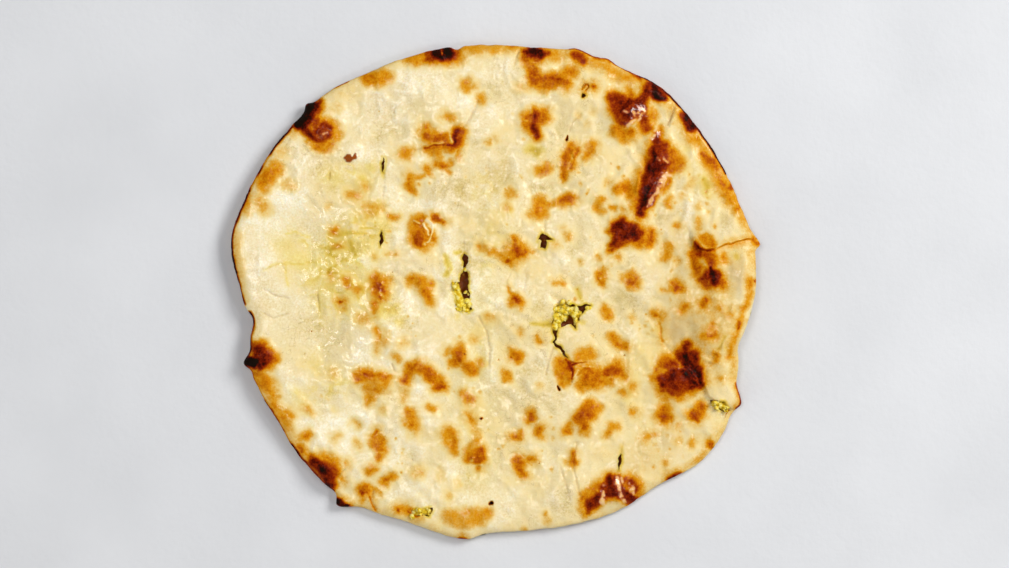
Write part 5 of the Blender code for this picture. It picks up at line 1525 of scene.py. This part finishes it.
# %% Levels of the stains and of the underside
STAIN_SPREAD = 1.3
VEIN_WIDTH, FINE_VEIN_LEVEL, VEIN_LEVEL, BETWEEN_VEINS = 0.30, 0.7, 0.55, 0.31
TEAR_STAIN, TEAR_STAIN_WIDTH, TEAR_STAIN_BITS = 0.95, 2.0, 0.8
GOLD, LEAST_GOLD, MOST_GOLD = 0.17, 0.05, 0.72
FRECKLED, FRECKLES_FROM = 0.5, (0.30, 0.80)
UNDER_RIM, UNDER_RIM_WIDTH = 0.9, 5.0
PATTERNS |= {
    "vein bend": (2.5, 7, 7, 32),
    "veins": (1, 5.5, 5.5, 34),
    "fine veins": (1, 3.3, 3.3, 45),
    "vein strength": (0.45, 12, 12, 35),
    "stain between veins": (0.24, 9, 9, 36),
    "stain at tears": (1, 3, 3, 37),
    "golden patches": (0.16, 21, 21, 48),
    "small golden patches": (0.08, 9, 9, 49),
    "underside freckles": (1, 7.5, 7.5, 50),
}


def yellow_at(x, y):
    """Yellow stains of the cheese, and the thin veins of it in some zones."""
    bend_x, bend_y = nudge("vein bend", x, y)
    bent = x + bend_x, y + bend_y
    veins = smooth(1.0 - np.abs(lumps("veins", *bent)) / VEIN_WIDTH)
    fine_veins = smooth(1.0 - np.abs(lumps("fine veins", *bent)) / VEIN_WIDTH)
    veins = np.maximum(veins, FINE_VEIN_LEVEL * fine_veins) * (VEIN_LEVEL + lumps("vein strength", x, y))
    veins = np.maximum(veins, BETWEEN_VEINS + lumps("stain between veins", *bent))
    stains = paint(*shifted(x, y), YELLOW_STAINS, STAIN_SPREAD)
    found = np.maximum(stains, veins * paint(x, y, YELLOW_ZONES))
    points = np.column_stack([x, y])
    bits = TEAR_STAIN * smooth(TEAR_STAIN_BITS + lumps("stain at tears", x, y))
    for loop in tears:
        away = distance_to(points, loop, TEAR_STAIN_WIDTH)
        found = np.maximum(found, bits * between(away, (TEAR_STAIN_WIDTH, 0.0)))
    return found


def toasted_at(x, y):
    """How browned the underside is: golden where it lay on the oven wall, with darker freckles and rim."""
    gold = GOLD + lumps("golden patches", x, y) + lumps("small golden patches", x, y)
    gold = gold + FRECKLED * between(lumps("underside freckles", x, y), FRECKLES_FROM)
    rim = UNDER_RIM * scorch_at(x, y) * between(inset_at(x, y), (UNDER_RIM_WIDTH, 0.0))
    return np.maximum(np.clip(gold, LEAST_GOLD, MOST_GOLD), rim)


print("toasted middle:", toasted_at(np.zeros(1), np.zeros(1)).round(2))

# %% Levels on the points of the bread
POCKET_TONE = 0.5
SHADE_OF_CREASE, SHADE_WIDTH, SHADE_OF_PIT = 0.55, 0.7, 2.0
SLOPE_SHADE_BELOW = 0.4
GLOSS_PLAIN, GLOSS_BUTTER = 0.26, 0.52
DRY_SHARE, DRY_FROM_SCORCH = 0.92, (0.25, 0.55)


def attach(mesh, name, values):
    """Stores one number for each point of a mesh."""
    layer = mesh.attributes.new(name, "FLOAT", "POINT")
    layer.data.foreach_set("value", np.asarray(values, dtype=np.float32))
    print(f"{name}: {values.min():.2f} to {values.max():.2f}")


px, py, _ = body.places.T
on_top = np.arange(len(px)) < len(top_numbers)
on_under = np.zeros(len(px), dtype=bool)
on_under[under_numbers[RIM_POINTS:]] = True
scorch = np.where(on_top, scorch_at(px, py), np.where(on_under, toasted_at(px, py), POCKET_TONE))
butter = np.where(on_top, paint(px, py, BUTTER_STROKES), 0.0)
oily = paint(px, py, OILY_STROKES)
shade_lines = [(SHADE_OF_CREASE * depth, SHADE_WIDTH * soft, beads) for depth, soft, beads in CREASES]
shade = np.maximum(paint(px, py, shade_lines), SHADE_OF_PIT * paint(px, py, pit_strokes))
# Painted shade on the slope that faces away from the light, fading out on scorched places.
shade = np.maximum(shade, paint(px, py, SLOPE_SHADE_AND_DULL_DOUGH) * (1.0 - smooth(scorch / SLOPE_SHADE_BELOW)))
gloss = GLOSS_PLAIN + (GLOSS_BUTTER - GLOSS_PLAIN) * butter
gloss = gloss * (1.0 - DRY_SHARE * between(scorch, DRY_FROM_SCORCH))
levels = {
    "scorch": scorch,
    "yellow": np.where(on_top, yellow_at(px, py), 0.0),
    "butter": np.maximum(butter, oily),
    "shade": np.where(on_top, shade, 0.0),
    "flake": np.where(on_top, flake_at(px, py), 0.0),
    "hollow": np.where(on_top, hollow_at(px, py), LEVEL_DOUGH),
    "gloss": np.maximum(gloss, oily),
    # Torn skin: pale, partly a painted highlight where the oily skin glints.
    "torn": np.where(on_top, torn_and_glint_at(px, py), 0.0),
}
for name, values in levels.items():
    attach(bread.data, name, values)

# %% [markdown]
# ## Materials
# Colours are written as hex values, as a screen shows them, and turned to the linear values that the
# renderer works with. Nodes could be added by hand in the shader editor. Here one function adds a node
# with its settings, and what goes into it: another node's output is linked, and a number is set.

# %% Helpers for materials
def linear(colour):
    """Turns an sRGB hex colour into the linear values that a shader takes, by the formula of sRGB."""
    levels = [int(colour[k:k + 2], 16) / 255.0 for k in (0, 2, 4)]
    return (*[v / 12.92 if v <= 0.04045 else ((v + 0.055) / 1.055) ** 2.4 for v in levels], 1.0)


def feed(tree, node, inputs):
    """Links the sockets among the inputs of a node, and sets the numbers and colours."""
    for key, value in inputs.items():
        if isinstance(value, bpy.types.NodeSocket):
            tree.links.new(value, node.inputs[key])
        else:
            node.inputs[key].default_value = value


def add(tree, kind, inputs=None, out=0, **settings):
    """Adds a node, feeds it, and gives one of its outputs."""
    node = tree.nodes.new(kind)
    for key, value in settings.items():
        setattr(node, key, value)
    feed(tree, node, inputs or {})
    return node.outputs[out]


def new_material(name):
    """A material with a Principled BSDF, and its tree."""
    made = bpy.data.materials.new(name)
    made.use_nodes = True
    return made, made.node_tree, made.node_tree.nodes["Principled BSDF"]


def fill_ramp(socket, stops):
    """Sets the colours of the ramp that a socket belongs to: each stop is a place and a hex colour."""
    ramp = socket.node.color_ramp
    while len(ramp.elements) > 1:
        ramp.elements.remove(ramp.elements[-1])
    ramp.elements[0].position = stops[0][0]
    ramp.elements[0].color = linear(stops[0][1])
    for place, colour in stops[1:]:
        ramp.elements.new(place).color = linear(colour)


# Places of the two colours among the inputs of a mix of colours, and of its result.
COLOUR_UNDER, COLOUR_OVER, COLOUR_OUT = 6, 7, 2
print("white is", linear("FFFFFF"))

# %% [markdown]
# ### Baked dough
# Naan dough is wheat flour, yoghurt and water. Baked for two minutes, it stays cream where it never
# touched the heat and goes through gold and orange-brown to black elsewhere. The scorch level picks
# the colour from a ramp. Fine noise is added to the level first, so that the marks are mottled as real
# ones are; where the dough is pale, little of the noise is left.

# %% Baked dough
SCORCH_COLOURS = [
    (0.00, "F0E3BA"),
    (0.12, "EBD69C"),
    (0.22, "E3C070"),
    (0.32, "D9A440"),
    (0.42, "D69410"),
    (0.52, "C67600"),
    (0.62, "AC5200"),
    (0.74, "8C2A00"),
    (0.86, "5A0E00"),
    (0.94, "300800"),
    (1.00, "190C04"),
]
# Noises: size in millimetres, detail, roughness. The grain of the flour and the fizz of the skin are
# a few tenths of a millimetre wide, too fine for the render, so they are drawn about 1 mm wide.
NOISES = {
    "grain": (1.1, 3, 0.6),
    "speckle": (3.5, 3, 0.6),
    "patch": (22, 4, 0.55),
    "crack": (7, 2, 0.6),
    "fizz": (0.9, 3, 0.6),
}
GRAIN_SHARE, SPECKLE_SHARE = 0.34, 0.36
MOTTLED_FROM, MOTTLED_TO, LEAST_MOTTLE = 0.03, 0.35, 0.12

dough, tree, shader = new_material("baked_naan_dough")
place = add(tree, "ShaderNodeTexCoord", out="Object")
of_place = {}
for name in levels:
    of_place[name] = add(tree, "ShaderNodeAttribute", out="Fac", attribute_name=name)
noise = {}
for name, (size, detail, rough) in NOISES.items():
    inputs = {"Vector": place, "Scale": 1.0 / (size * MM), "Detail": detail, "Roughness": rough}
    noise[name] = add(tree, "ShaderNodeTexNoise", inputs)

# A noise is even about 0.5, and the sum of the two has to be even about 0.
start = -0.5 * (GRAIN_SHARE + SPECKLE_SHARE)
inputs = {0: noise["grain"], 1: GRAIN_SHARE, 2: start}
mottle = add(tree, "ShaderNodeMath", inputs, operation="MULTIPLY_ADD")
inputs = {0: noise["speckle"], 1: SPECKLE_SHARE, 2: mottle}
mottle = add(tree, "ShaderNodeMath", inputs, operation="MULTIPLY_ADD")
inputs = {
    "Value": of_place["scorch"],
    "From Min": MOTTLED_FROM, "From Max": MOTTLED_TO, "To Min": LEAST_MOTTLE,
}
mottle_share = add(tree, "ShaderNodeMapRange", inputs, interpolation_type="SMOOTHSTEP")
inputs = {0: mottle, 1: mottle_share, 2: of_place["scorch"]}
level = add(tree, "ShaderNodeMath", inputs, operation="MULTIPLY_ADD", use_clamp=True)
toast = add(tree, "ShaderNodeValToRGB", {"Fac": level})
fill_ramp(toast, SCORCH_COLOURS)
print(len(NOISES), "noises and", len(of_place), "levels of place")

# %% [markdown]
# ### Pale dough
# Between the marks the dough is never one cream: it is floury, painted lighter on what stands up and
# painted greyer in the hollows, as light and shade fall there, and warmer at the right. The sum of
# these picks from a second ramp.

# %% Pale dough
PALE_COLOURS = [(0.22, "FBF6E2"), (0.48, "EFE1BA"), (0.70, "E2CF9A"), (0.90, "CFB874")]
WARMER_FROM_X, WARMER_TO_X, WARMER_BY = -0.06, 0.10, 0.18
PAINTED_LIGHT_ON_CRESTS, PAINTED_SHADE_IN_HOLLOWS = -0.66, -0.24
FLOUR_SHARE = 0.9
PALE_UNTIL = 0.10

inputs = {
    "Value": add(tree, "ShaderNodeSeparateXYZ", {"Vector": place}, out="X"),
    "From Min": WARMER_FROM_X, "From Max": WARMER_TO_X, "To Max": WARMER_BY,
}
warmer = add(tree, "ShaderNodeMapRange", inputs, interpolation_type="SMOOTHSTEP")
# Painted light on the crests and painted shade in the hollows of the relief.
inputs = {"Value": of_place["hollow"], "To Min": PAINTED_LIGHT_ON_CRESTS, "To Max": PAINTED_SHADE_IN_HOLLOWS}
hollow_shade = add(tree, "ShaderNodeMapRange", inputs)
patches_and_hollow_shade = add(tree, "ShaderNodeMath", {0: noise["patch"], 1: hollow_shade}, operation="ADD")
inputs = {0: noise["grain"], 1: FLOUR_SHARE, 2: patches_and_hollow_shade}
grain_and_hollow_shade = add(tree, "ShaderNodeMath", inputs, operation="MULTIPLY_ADD")
tone = add(tree, "ShaderNodeMath", {0: grain_and_hollow_shade, 1: warmer}, operation="ADD")
pale = add(tree, "ShaderNodeValToRGB", {"Fac": tone})
fill_ramp(pale, PALE_COLOURS)
pale_share = add(tree, "ShaderNodeMapRange", {"Value": level, "From Min": PALE_UNTIL, "From Max": 0.0})

# %% [markdown]
# ### Thin cracks, stains and torn skin
# Dry skin cracks in thin lines, which are the places where a noise passes its middle value. Cheese
# stains the dough yellow, creases and the slope that faces away from the light get painted shade, and
# torn skin is pale and streaky, partly a painted highlight where the oily skin glints. Each is one
# more layer of colour, laid on or multiplied in, so they stand in one list.

# %% Layers over the dough
CRACK_WIDTH, CRACK_STRENGTH = 0.013, 0.34
CRACKED_FROM, CRACKED_TO = 0.50, 0.62
STREAKS_FROM, STREAKS_TO, LEAST_TORN, MOST_TORN = 0.40, 0.60, 0.25, 0.95
STAIN_COLOURS = [(0.0, "FFFFFF"), (0.35, "FAF3BE"), (0.65, "EEDF84"), (1.0, "CFBA3C")]

off_middle = add(tree, "ShaderNodeMath", {0: noise["crack"], 1: 0.5}, operation="SUBTRACT")
off_line = add(tree, "ShaderNodeMath", {0: off_middle}, operation="ABSOLUTE")
inputs = {"Value": off_line, "From Max": CRACK_WIDTH, "To Min": CRACK_STRENGTH, "To Max": 0.0}
on_line = add(tree, "ShaderNodeMapRange", inputs, interpolation_type="SMOOTHSTEP")
inputs = {"Value": noise["patch"], "From Min": CRACKED_FROM, "From Max": CRACKED_TO}
cracked = add(tree, "ShaderNodeMapRange", inputs, interpolation_type="SMOOTHSTEP")
crack_share = add(tree, "ShaderNodeMath", {0: on_line, 1: cracked}, operation="MULTIPLY")
inputs = {
    "Value": noise["grain"], "From Min": STREAKS_FROM, "From Max": STREAKS_TO,
    "To Min": LEAST_TORN, "To Max": MOST_TORN,
}
streaks = add(tree, "ShaderNodeMapRange", inputs)
torn_and_glint_share = add(tree, "ShaderNodeMath", {0: of_place["torn"], 1: streaks}, operation="MULTIPLY")
stain = add(tree, "ShaderNodeValToRGB", {"Fac": of_place["yellow"]})
fill_ramp(stain, STAIN_COLOURS)

# How much of a layer there is, how it is laid on, and its colour.
layers = [
    (pale_share, "MIX", pale),
    (1.0, "MULTIPLY", stain),
    (of_place["shade"], "MULTIPLY", linear("B08A48")),
    (of_place["flake"], "MIX", linear("94480E")),
    (crack_share, "MULTIPLY", linear("A88C50")),
    # Torn skin, partly a painted highlight at the glints of the oily skin.
    (torn_and_glint_share, "MIX", linear("EDBD98")),
]
colour = toast
for share, way, over in layers:
    inputs = {"Factor": share, COLOUR_UNDER: colour, COLOUR_OVER: over}
    colour = add(tree, "ShaderNodeMix", inputs, COLOUR_OUT, data_type="RGBA", blend_type=way)
print(len(layers), "layers over the toasted dough")

# %% [markdown]
# ### Sheen of the dough
# Light enters the dough a little, which softens its shadows. Melted butter leaves a soft sheen and the
# scorched blisters are oily, which the coat over the dough stands for. Its small bubbles are bumps.

# %% Sheen and fine bumps
DRY_ROUGHNESS, BUTTERED_ROUGHNESS = 0.62, 0.34
SMOOTH_FROM_SCORCH, LEAST_FIZZ = 0.5, 0.04
FIZZ_PLAIN, FIZZ_BUTTERED = 0.8, 0.5
FIZZ_STRENGTH, FIZZ_DEPTH = 0.9, 0.0003

inputs = {"Value": of_place["butter"], "To Min": DRY_ROUGHNESS, "To Max": BUTTERED_ROUGHNESS}
roughness = add(tree, "ShaderNodeMapRange", inputs)
inputs = {"Value": of_place["scorch"], "From Max": SMOOTH_FROM_SCORCH, "To Min": 1.0, "To Max": LEAST_FIZZ}
bubbly = add(tree, "ShaderNodeMapRange", inputs)
inputs = {0: of_place["butter"], 1: FIZZ_BUTTERED, 2: FIZZ_PLAIN}
wetter = add(tree, "ShaderNodeMath", inputs, operation="MULTIPLY_ADD")
fizz_share = add(tree, "ShaderNodeMath", {0: bubbly, 1: wetter}, operation="MULTIPLY")
fizz_height = add(tree, "ShaderNodeMath", {0: noise["fizz"], 1: fizz_share}, operation="MULTIPLY")
inputs = {"Height": fizz_height, "Strength": FIZZ_STRENGTH, "Distance": FIZZ_DEPTH}
bumps = add(tree, "ShaderNodeBump", inputs)
feed(tree, shader, {
    "Base Color": colour,
    "Roughness": roughness,
    "IOR": 1.45,
    "Metallic": 0.0,
    "Subsurface Weight": 0.15,
    "Subsurface Radius": (0.003, 0.0018, 0.0008),
    "Subsurface Scale": 1.0,
    "Specular IOR Level": 0.04,
    "Coat Weight": of_place["gloss"],
    "Coat Roughness": 0.12,
    "Normal": bumps,
})
bread.data.materials.append(dough)
print(dough.name, "has", len(tree.nodes), "nodes")

# %% [markdown]
# ## Cheese
# Under the dough lies a layer of crumbled cheese, a closed body in the pocket. It rises where it shows
# in a tear. It needs many points only there, so the lattice is fine near the tears and wide elsewhere.

# %% Layer of cheese
GAP = 0.3
LAYER_DROP = 1.2
SHOWN_STEP, SHOWN_REACH = 0.6, 2.0
PATTERNS |= {
    "cheese grit": (0.6, 2, 2, 22),
    "fine cheese grit": (0.35, 1.1, 1.1, 23),
    "cheese edge": (0.8, 2, 2, 38),
}
# Where the cheese rises into a tear: height, softness, beads.
CHEESE_RISES = [
    (3, 3, [(33.5, -10, 1.8), (37, -9, 2.4), (40, -11, 2.2)]), (2.8, 3, [(34, -15, 2), (37, -14, 2.2)]),
    (3, 2.4, [(44, -13, 1.4), (44, -17, 1)]),
    (3.6, 1.6, [(-22, 2.6, 1.6), (-20.6, -1, 2.2), (-19.4, -5.5, 2.2), (-16.5, -9.6, 2.4)]),
    (2, 1.6, [(-16, 12.2, 0.7)]), (3, 2.5, [(-43, -119.8, 1.8), (-36, -119, 1.8)]),
    (3.8, 2.5, [(118, -60.3, 1.4), (123.5, -62.6, 1.8)]),
]


def cheese_top(x, y):
    """Upper face of the layer, gritty and raised in the tears."""
    grit = lumps("cheese grit", x, y) + lumps("fine cheese grit", x, y)
    off_x, off_y = nudge("cheese edge", x, y)
    return pocket_ceiling(x, y) - LAYER_DROP + grit + paint(x + off_x, y + off_y, CHEESE_RISES)


def cheese_bottom(x, y):
    """Lower face of the layer, a small gap above the dough."""
    return pocket_floor(x, y) + GAP


cheese_edge = pocket_loop(GAP)
layer_free = pocket_lattice(cheese_edge)
dense = lattice(SHOWN_STEP)
shown = np.zeros(len(dense), dtype=bool)
for loop in tears:
    shown |= inside(dense, loop) | (distance_to(dense, loop, 2.0 * SHOWN_REACH) < SHOWN_REACH)
layer_points = np.vstack([layer_free, dense[shown & inside(dense, cheese_edge)]])

cheese_body = Body()
cheese_upper = cheese_body.add_sheet(sheet(cheese_edge, [], layer_points), cheese_top)
cheese_lower = cheese_body.add_sheet(sheet(cheese_edge, [], layer_free), cheese_bottom, up=False)
rim_count = len(cheese_edge)
cheese_body.add_wall(cheese_lower[:rim_count], cheese_upper[:rim_count])
print(len(cheese_body.places), "points in the layer")

# %% [markdown]
# ### Curds
# In the tears the cheese shows as small yellow curds with dark gaps between them. A particle system
# could scatter them, but they are wanted at chosen places, so they are strewn along strokes. Each is
# a sphere pushed about at random, turned, and joined to the layer.

# %% Curds
# How high the middles of the curds stand over the layer, and the beads they lie along.
CURD_STROKES = [
    (3.4, [(33, -10, 1.4), (36, -8.4, 1.6), (39.5, -9, 1.8), (41.5, -11.5, 1.4)]),
    (3, [(33.5, -14.5, 1.4), (36.5, -13.5, 1.8)]),
    (3.2, [(44.4, -13, 1), (44, -16.5, 1)]),
    (2.2, [(33, -18.5, 1)]),
    (4.2, [(32.4, -9, 0.6), (35.5, -6.6, 0.6), (50, -9.6, 0.5)]),
    (3.8, [(-22.4, 2.8, 0.9), (-20.6, 3.4, 0.7)]),
    (3.4, [(-18.4, -8.4, 1.3), (-15.8, -9.6, 1.4), (-15, -6.4, 0.7)]),
    (2.4, [(-15.8, 12.4, 0.6), (-15.4, -1, 0.6)]),
    (3, [(-43, -120, 1.3), (-39, -119.5, 1.5), (-36, -119, 1.2)]),
    (3.8, [(118, -60.3, 1.1), (121, -61.5, 1.6), (124, -63, 1.3)]),
]
SMALLEST_CURD, LARGEST_CURD = 0.5, 2.1
CURDS_PER_RADIUS = 6.0
CURD_SCATTER = 1.6
CURD_SINK = 1.5
CURD_TURNS, CURD_RINGS = 10, 5
CURD_DENTS, CURD_STRETCH = (0.72, 1.24), (0.55, 1.5)
# How fresh a curd is at its middle, and how much more at its top. Its darker lower side is painted
# shade.
CURD_FRESH, CURD_FRESHER = 0.60, 0.60


def lump_mesh(rng, middle, radius):
    """Points and triangles of one curd."""
    turns = np.linspace(0.0, 2.0 * np.pi, CURD_TURNS, endpoint=False)
    rings = np.linspace(0.0, np.pi, CURD_RINGS + 2)[1:-1]
    points = [(0.0, 0.0, 1.0)]
    points += [(np.sin(b) * np.cos(a), np.sin(b) * np.sin(a), np.cos(b)) for b in rings for a in turns]
    points.append((0.0, 0.0, -1.0))
    dents = rng.uniform(*CURD_DENTS, (len(points), 1))
    points = np.array(points) * radius * dents * rng.uniform(*CURD_STRETCH, 3)
    turn = rng.uniform(0.0, np.pi)
    c, s = np.cos(turn), np.sin(turn)
    points = points @ np.array([[c, s, 0.0], [-s, c, 0.0], [0.0, 0.0, 1.0]])
    triangles = []
    last = 1 + (CURD_RINGS - 1) * CURD_TURNS
    for k in range(CURD_TURNS):
        after = (k + 1) % CURD_TURNS
        triangles.append((0, 1 + k, 1 + after))
        for a in range(1, last, CURD_TURNS):
            b = a + CURD_TURNS
            triangles += [(a + k, b + k, b + after), (a + k, b + after, a + after)]
        triangles.append((last + k, len(points) - 1, last + after))
    return points + middle, np.array(triangles)


curd_rng = np.random.default_rng(29)
layer_count = len(cheese_body.places)
curd_tones_and_shade = []
for stand, beads in CURD_STROKES:
    for x, y, radius in beads:
        for _ in range(int(CURDS_PER_RADIUS * radius)):
            place_x, place_y = np.array([x, y]) + curd_rng.uniform(-CURD_SCATTER, CURD_SCATTER, 2) * radius
            size = SMALLEST_CURD + (LARGEST_CURD - SMALLEST_CURD) * curd_rng.uniform() ** 2
            z = float(pocket_ceiling(np.array([place_x]), np.array([place_y]))[0])
            z += stand - LAYER_DROP - curd_rng.uniform(0.0, CURD_SINK)
            points, triangles = lump_mesh(curd_rng, np.array([place_x, place_y, z]), size)
            cheese_body.triangles.append(triangles + len(cheese_body.places))
            cheese_body.places = np.vstack([cheese_body.places, points])
            curd_tones_and_shade.append(smooth(CURD_FRESH + CURD_FRESHER * (points[:, 2] - z) / size))
cheese = cheese_body.make("cheese_layer")
print(len(curd_tones_and_shade), "curds")

# %% [markdown]
# ### Melted cheese
# The cheese is a fresh, mild one mixed with a little turmeric-yellow hard cheese. It is soft and
# slightly translucent. Its gaps brown in the heat and lie in shade, which the depth of the layer tells:
# what lies low is brown and dark, partly browned cheese and partly painted shade, and what stands up
# into the tear is yellow.

# %% Melted cheese
FRESH_COLOURS = [(0.36, "D0A810"), (0.50, "EACF3C"), (0.64, "F4E790")]
BROWNED_AND_SHADED_COLOURS = [(0.0, "6E3206"), (0.5, "A87C10"), (1.0, "DCC024")]
BLOTCH_MM = 2.0
DARK_BELOW, FRESH_WITHIN = 0.2, 1.8
FRESH_FROM_CURD = 0.4

cx, cy, cz = cheese_body.places.T
# What lies low in the layer is painted browner and darker: partly browned cheese, partly painted shade in
# the gaps.
stand = cz - (pocket_ceiling(cx, cy) - LAYER_DROP)
freshness_and_shade = smooth((stand - DARK_BELOW) / FRESH_WITHIN)
freshness_and_shade[layer_count:] = np.concatenate(curd_tones_and_shade)
attach(cheese.data, "curd", freshness_and_shade)

melted, tree, shader = new_material("melted_cheese")
place = add(tree, "ShaderNodeTexCoord", out="Object")
blotch = add(tree, "ShaderNodeTexNoise", {"Vector": place, "Scale": 1.0 / (BLOTCH_MM * MM), "Detail": 3.0})
fresh = add(tree, "ShaderNodeValToRGB", {"Fac": blotch})
fill_ramp(fresh, FRESH_COLOURS)
curd_level = add(tree, "ShaderNodeAttribute", out="Fac", attribute_name="curd")
# The low, dark colours of this ramp are partly browned cheese and partly painted shade.
browned = add(tree, "ShaderNodeValToRGB", {"Fac": curd_level})
fill_ramp(browned, BROWNED_AND_SHADED_COLOURS)
fresh_share = add(tree, "ShaderNodeMapRange", {"Value": curd_level, "From Min": FRESH_FROM_CURD})
inputs = {"Factor": fresh_share, COLOUR_UNDER: browned, COLOUR_OVER: fresh}
colour = add(tree, "ShaderNodeMix", inputs, COLOUR_OUT, data_type="RGBA")
feed(tree, shader, {
    "Base Color": colour,
    "Roughness": 0.4,
    "IOR": 1.45,
    "Specular IOR Level": 0.12,
    "Subsurface Weight": 0.2,
    "Subsurface Radius": (0.002, 0.0015, 0.0005),
    "Subsurface Scale": 1.0,
})
cheese.data.materials.append(melted)
print(melted.name, "has", len(tree.nodes), "nodes")

# %% [markdown]
# ## Floor
# The bread lies on a plain pale surface, one large square with the faint marks of a trowel.

# %% Floor
FLOOR_HALF = 1.5
CLOUD_MM, TROWEL_MARK_MM = 83.33, 4.545
TROWEL_STRENGTH, TROWEL_DEPTH_MM = 0.4, 0.6
FLOOR_COLOURS = [(0.35, "D4D8DF"), (0.65, "DADEE5")]

floor_mesh = bpy.data.meshes.new("floor")
corners = [(FLOOR_HALF * a, FLOOR_HALF * b, 0.0) for a, b in ((-1, -1), (1, -1), (1, 1), (-1, 1))]
floor_mesh.from_pydata(corners, [], [(0, 1, 2, 3)])
floor = bpy.data.objects.new("floor", floor_mesh)
bpy.context.scene.collection.objects.link(floor)
plaster, tree, shader = new_material("pale_painted_plaster")
place = add(tree, "ShaderNodeTexCoord", out="Object")
inputs = {"Vector": place, "Scale": 1.0 / (CLOUD_MM * MM), "Detail": 5.0}
cloud = add(tree, "ShaderNodeTexNoise", inputs)
tint = add(tree, "ShaderNodeValToRGB", {"Fac": cloud})
fill_ramp(tint, FLOOR_COLOURS)
inputs = {"Vector": place, "Scale": 1.0 / (TROWEL_MARK_MM * MM), "Detail": 4.0}
trowel = add(tree, "ShaderNodeTexNoise", inputs)
inputs = {"Height": trowel, "Strength": TROWEL_STRENGTH, "Distance": TROWEL_DEPTH_MM * MM}
trowel_bumps = add(tree, "ShaderNodeBump", inputs)
feed(tree, shader, {"Base Color": tint, "Roughness": 0.8, "Normal": trowel_bumps})
floor_mesh.materials.append(plaster)
print("floor", 2.0 * FLOOR_HALF, "m wide")

# %% [markdown]
# ## Light
# One lamp could light it all, but then the shadows would be black. A large soft light from the upper
# right models the relief, a small one from the lower right glints on the oily blisters, a weaker one
# from above gives the buttery sheen, and a pale sky fills the shadows. The camera moves to its place
# here too, as the middle of the bread is known by now.

# %% Light and camera places
# Lamps: watts, side of the square in metres, place in metres, colour.
LAMPS = {
    "key": (31.0, 0.8, (1.3, 0.81, 1.43), "FFFBF5"),
    "window": (5.2, 0.32, (1.24, -0.53, 1.61), "FFFBF5"),
    "sheen": (7.0, 0.45, (-0.25, 0.18, 1.7), "FFFFFF"),
    "fill": (5.5, 1.2, (-1.0, -0.9, 0.9), "FFF7EC"),
}
SKY_COLOUR, SKY_STRENGTH = "F2F0EC", 0.22

centre_px = np.array([IMAGE_WIDTH_PX / 2.0, IMAGE_HEIGHT_PX / 2.0])
centre = (centre_px - np.array(BREAD_MIDDLE_PX)) * PIXEL_MM * np.array([1.0, -1.0]) - cad_middle
camera.location = (centre[0] * MM, centre[1] * MM, CAMERA_DISTANCE + BREAD_HEIGHT * MM)
for name, (watts, side, where, colour) in LAMPS.items():
    lamp_data = bpy.data.lights.new(name, "AREA")
    lamp_data.energy = watts
    lamp_data.size = side
    lamp_data.color = linear(colour)[:3]
    lamp = bpy.data.objects.new(name, lamp_data)
    lamp.location = where
    lamp.rotation_euler = Vector(where).to_track_quat("Z", "Y").to_euler()
    bpy.context.scene.collection.objects.link(lamp)
sky = bpy.data.worlds.new("sky")
sky.use_nodes = True
inputs = {"Color": linear(SKY_COLOUR), "Strength": SKY_STRENGTH}
feed(sky.node_tree, sky.node_tree.nodes["Background"], inputs)
bpy.context.scene.world = sky
bpy.context.scene.view_settings.view_transform = "Standard"
print(len(LAMPS), "lamps, camera at", [round(v, 3) for v in camera.location])

# %% [markdown]
# ## Join the looks to the part
# The detailed bread and cheese stand for the two solids, which stay hidden and keep their work in the
# simulation.

# %% Ride, replace and finish
for piece, node, slot in ((bread, "bread", "dough"), (cheese, "cheese_filling", "cheese")):
    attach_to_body(piece, "root")
    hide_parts(node)
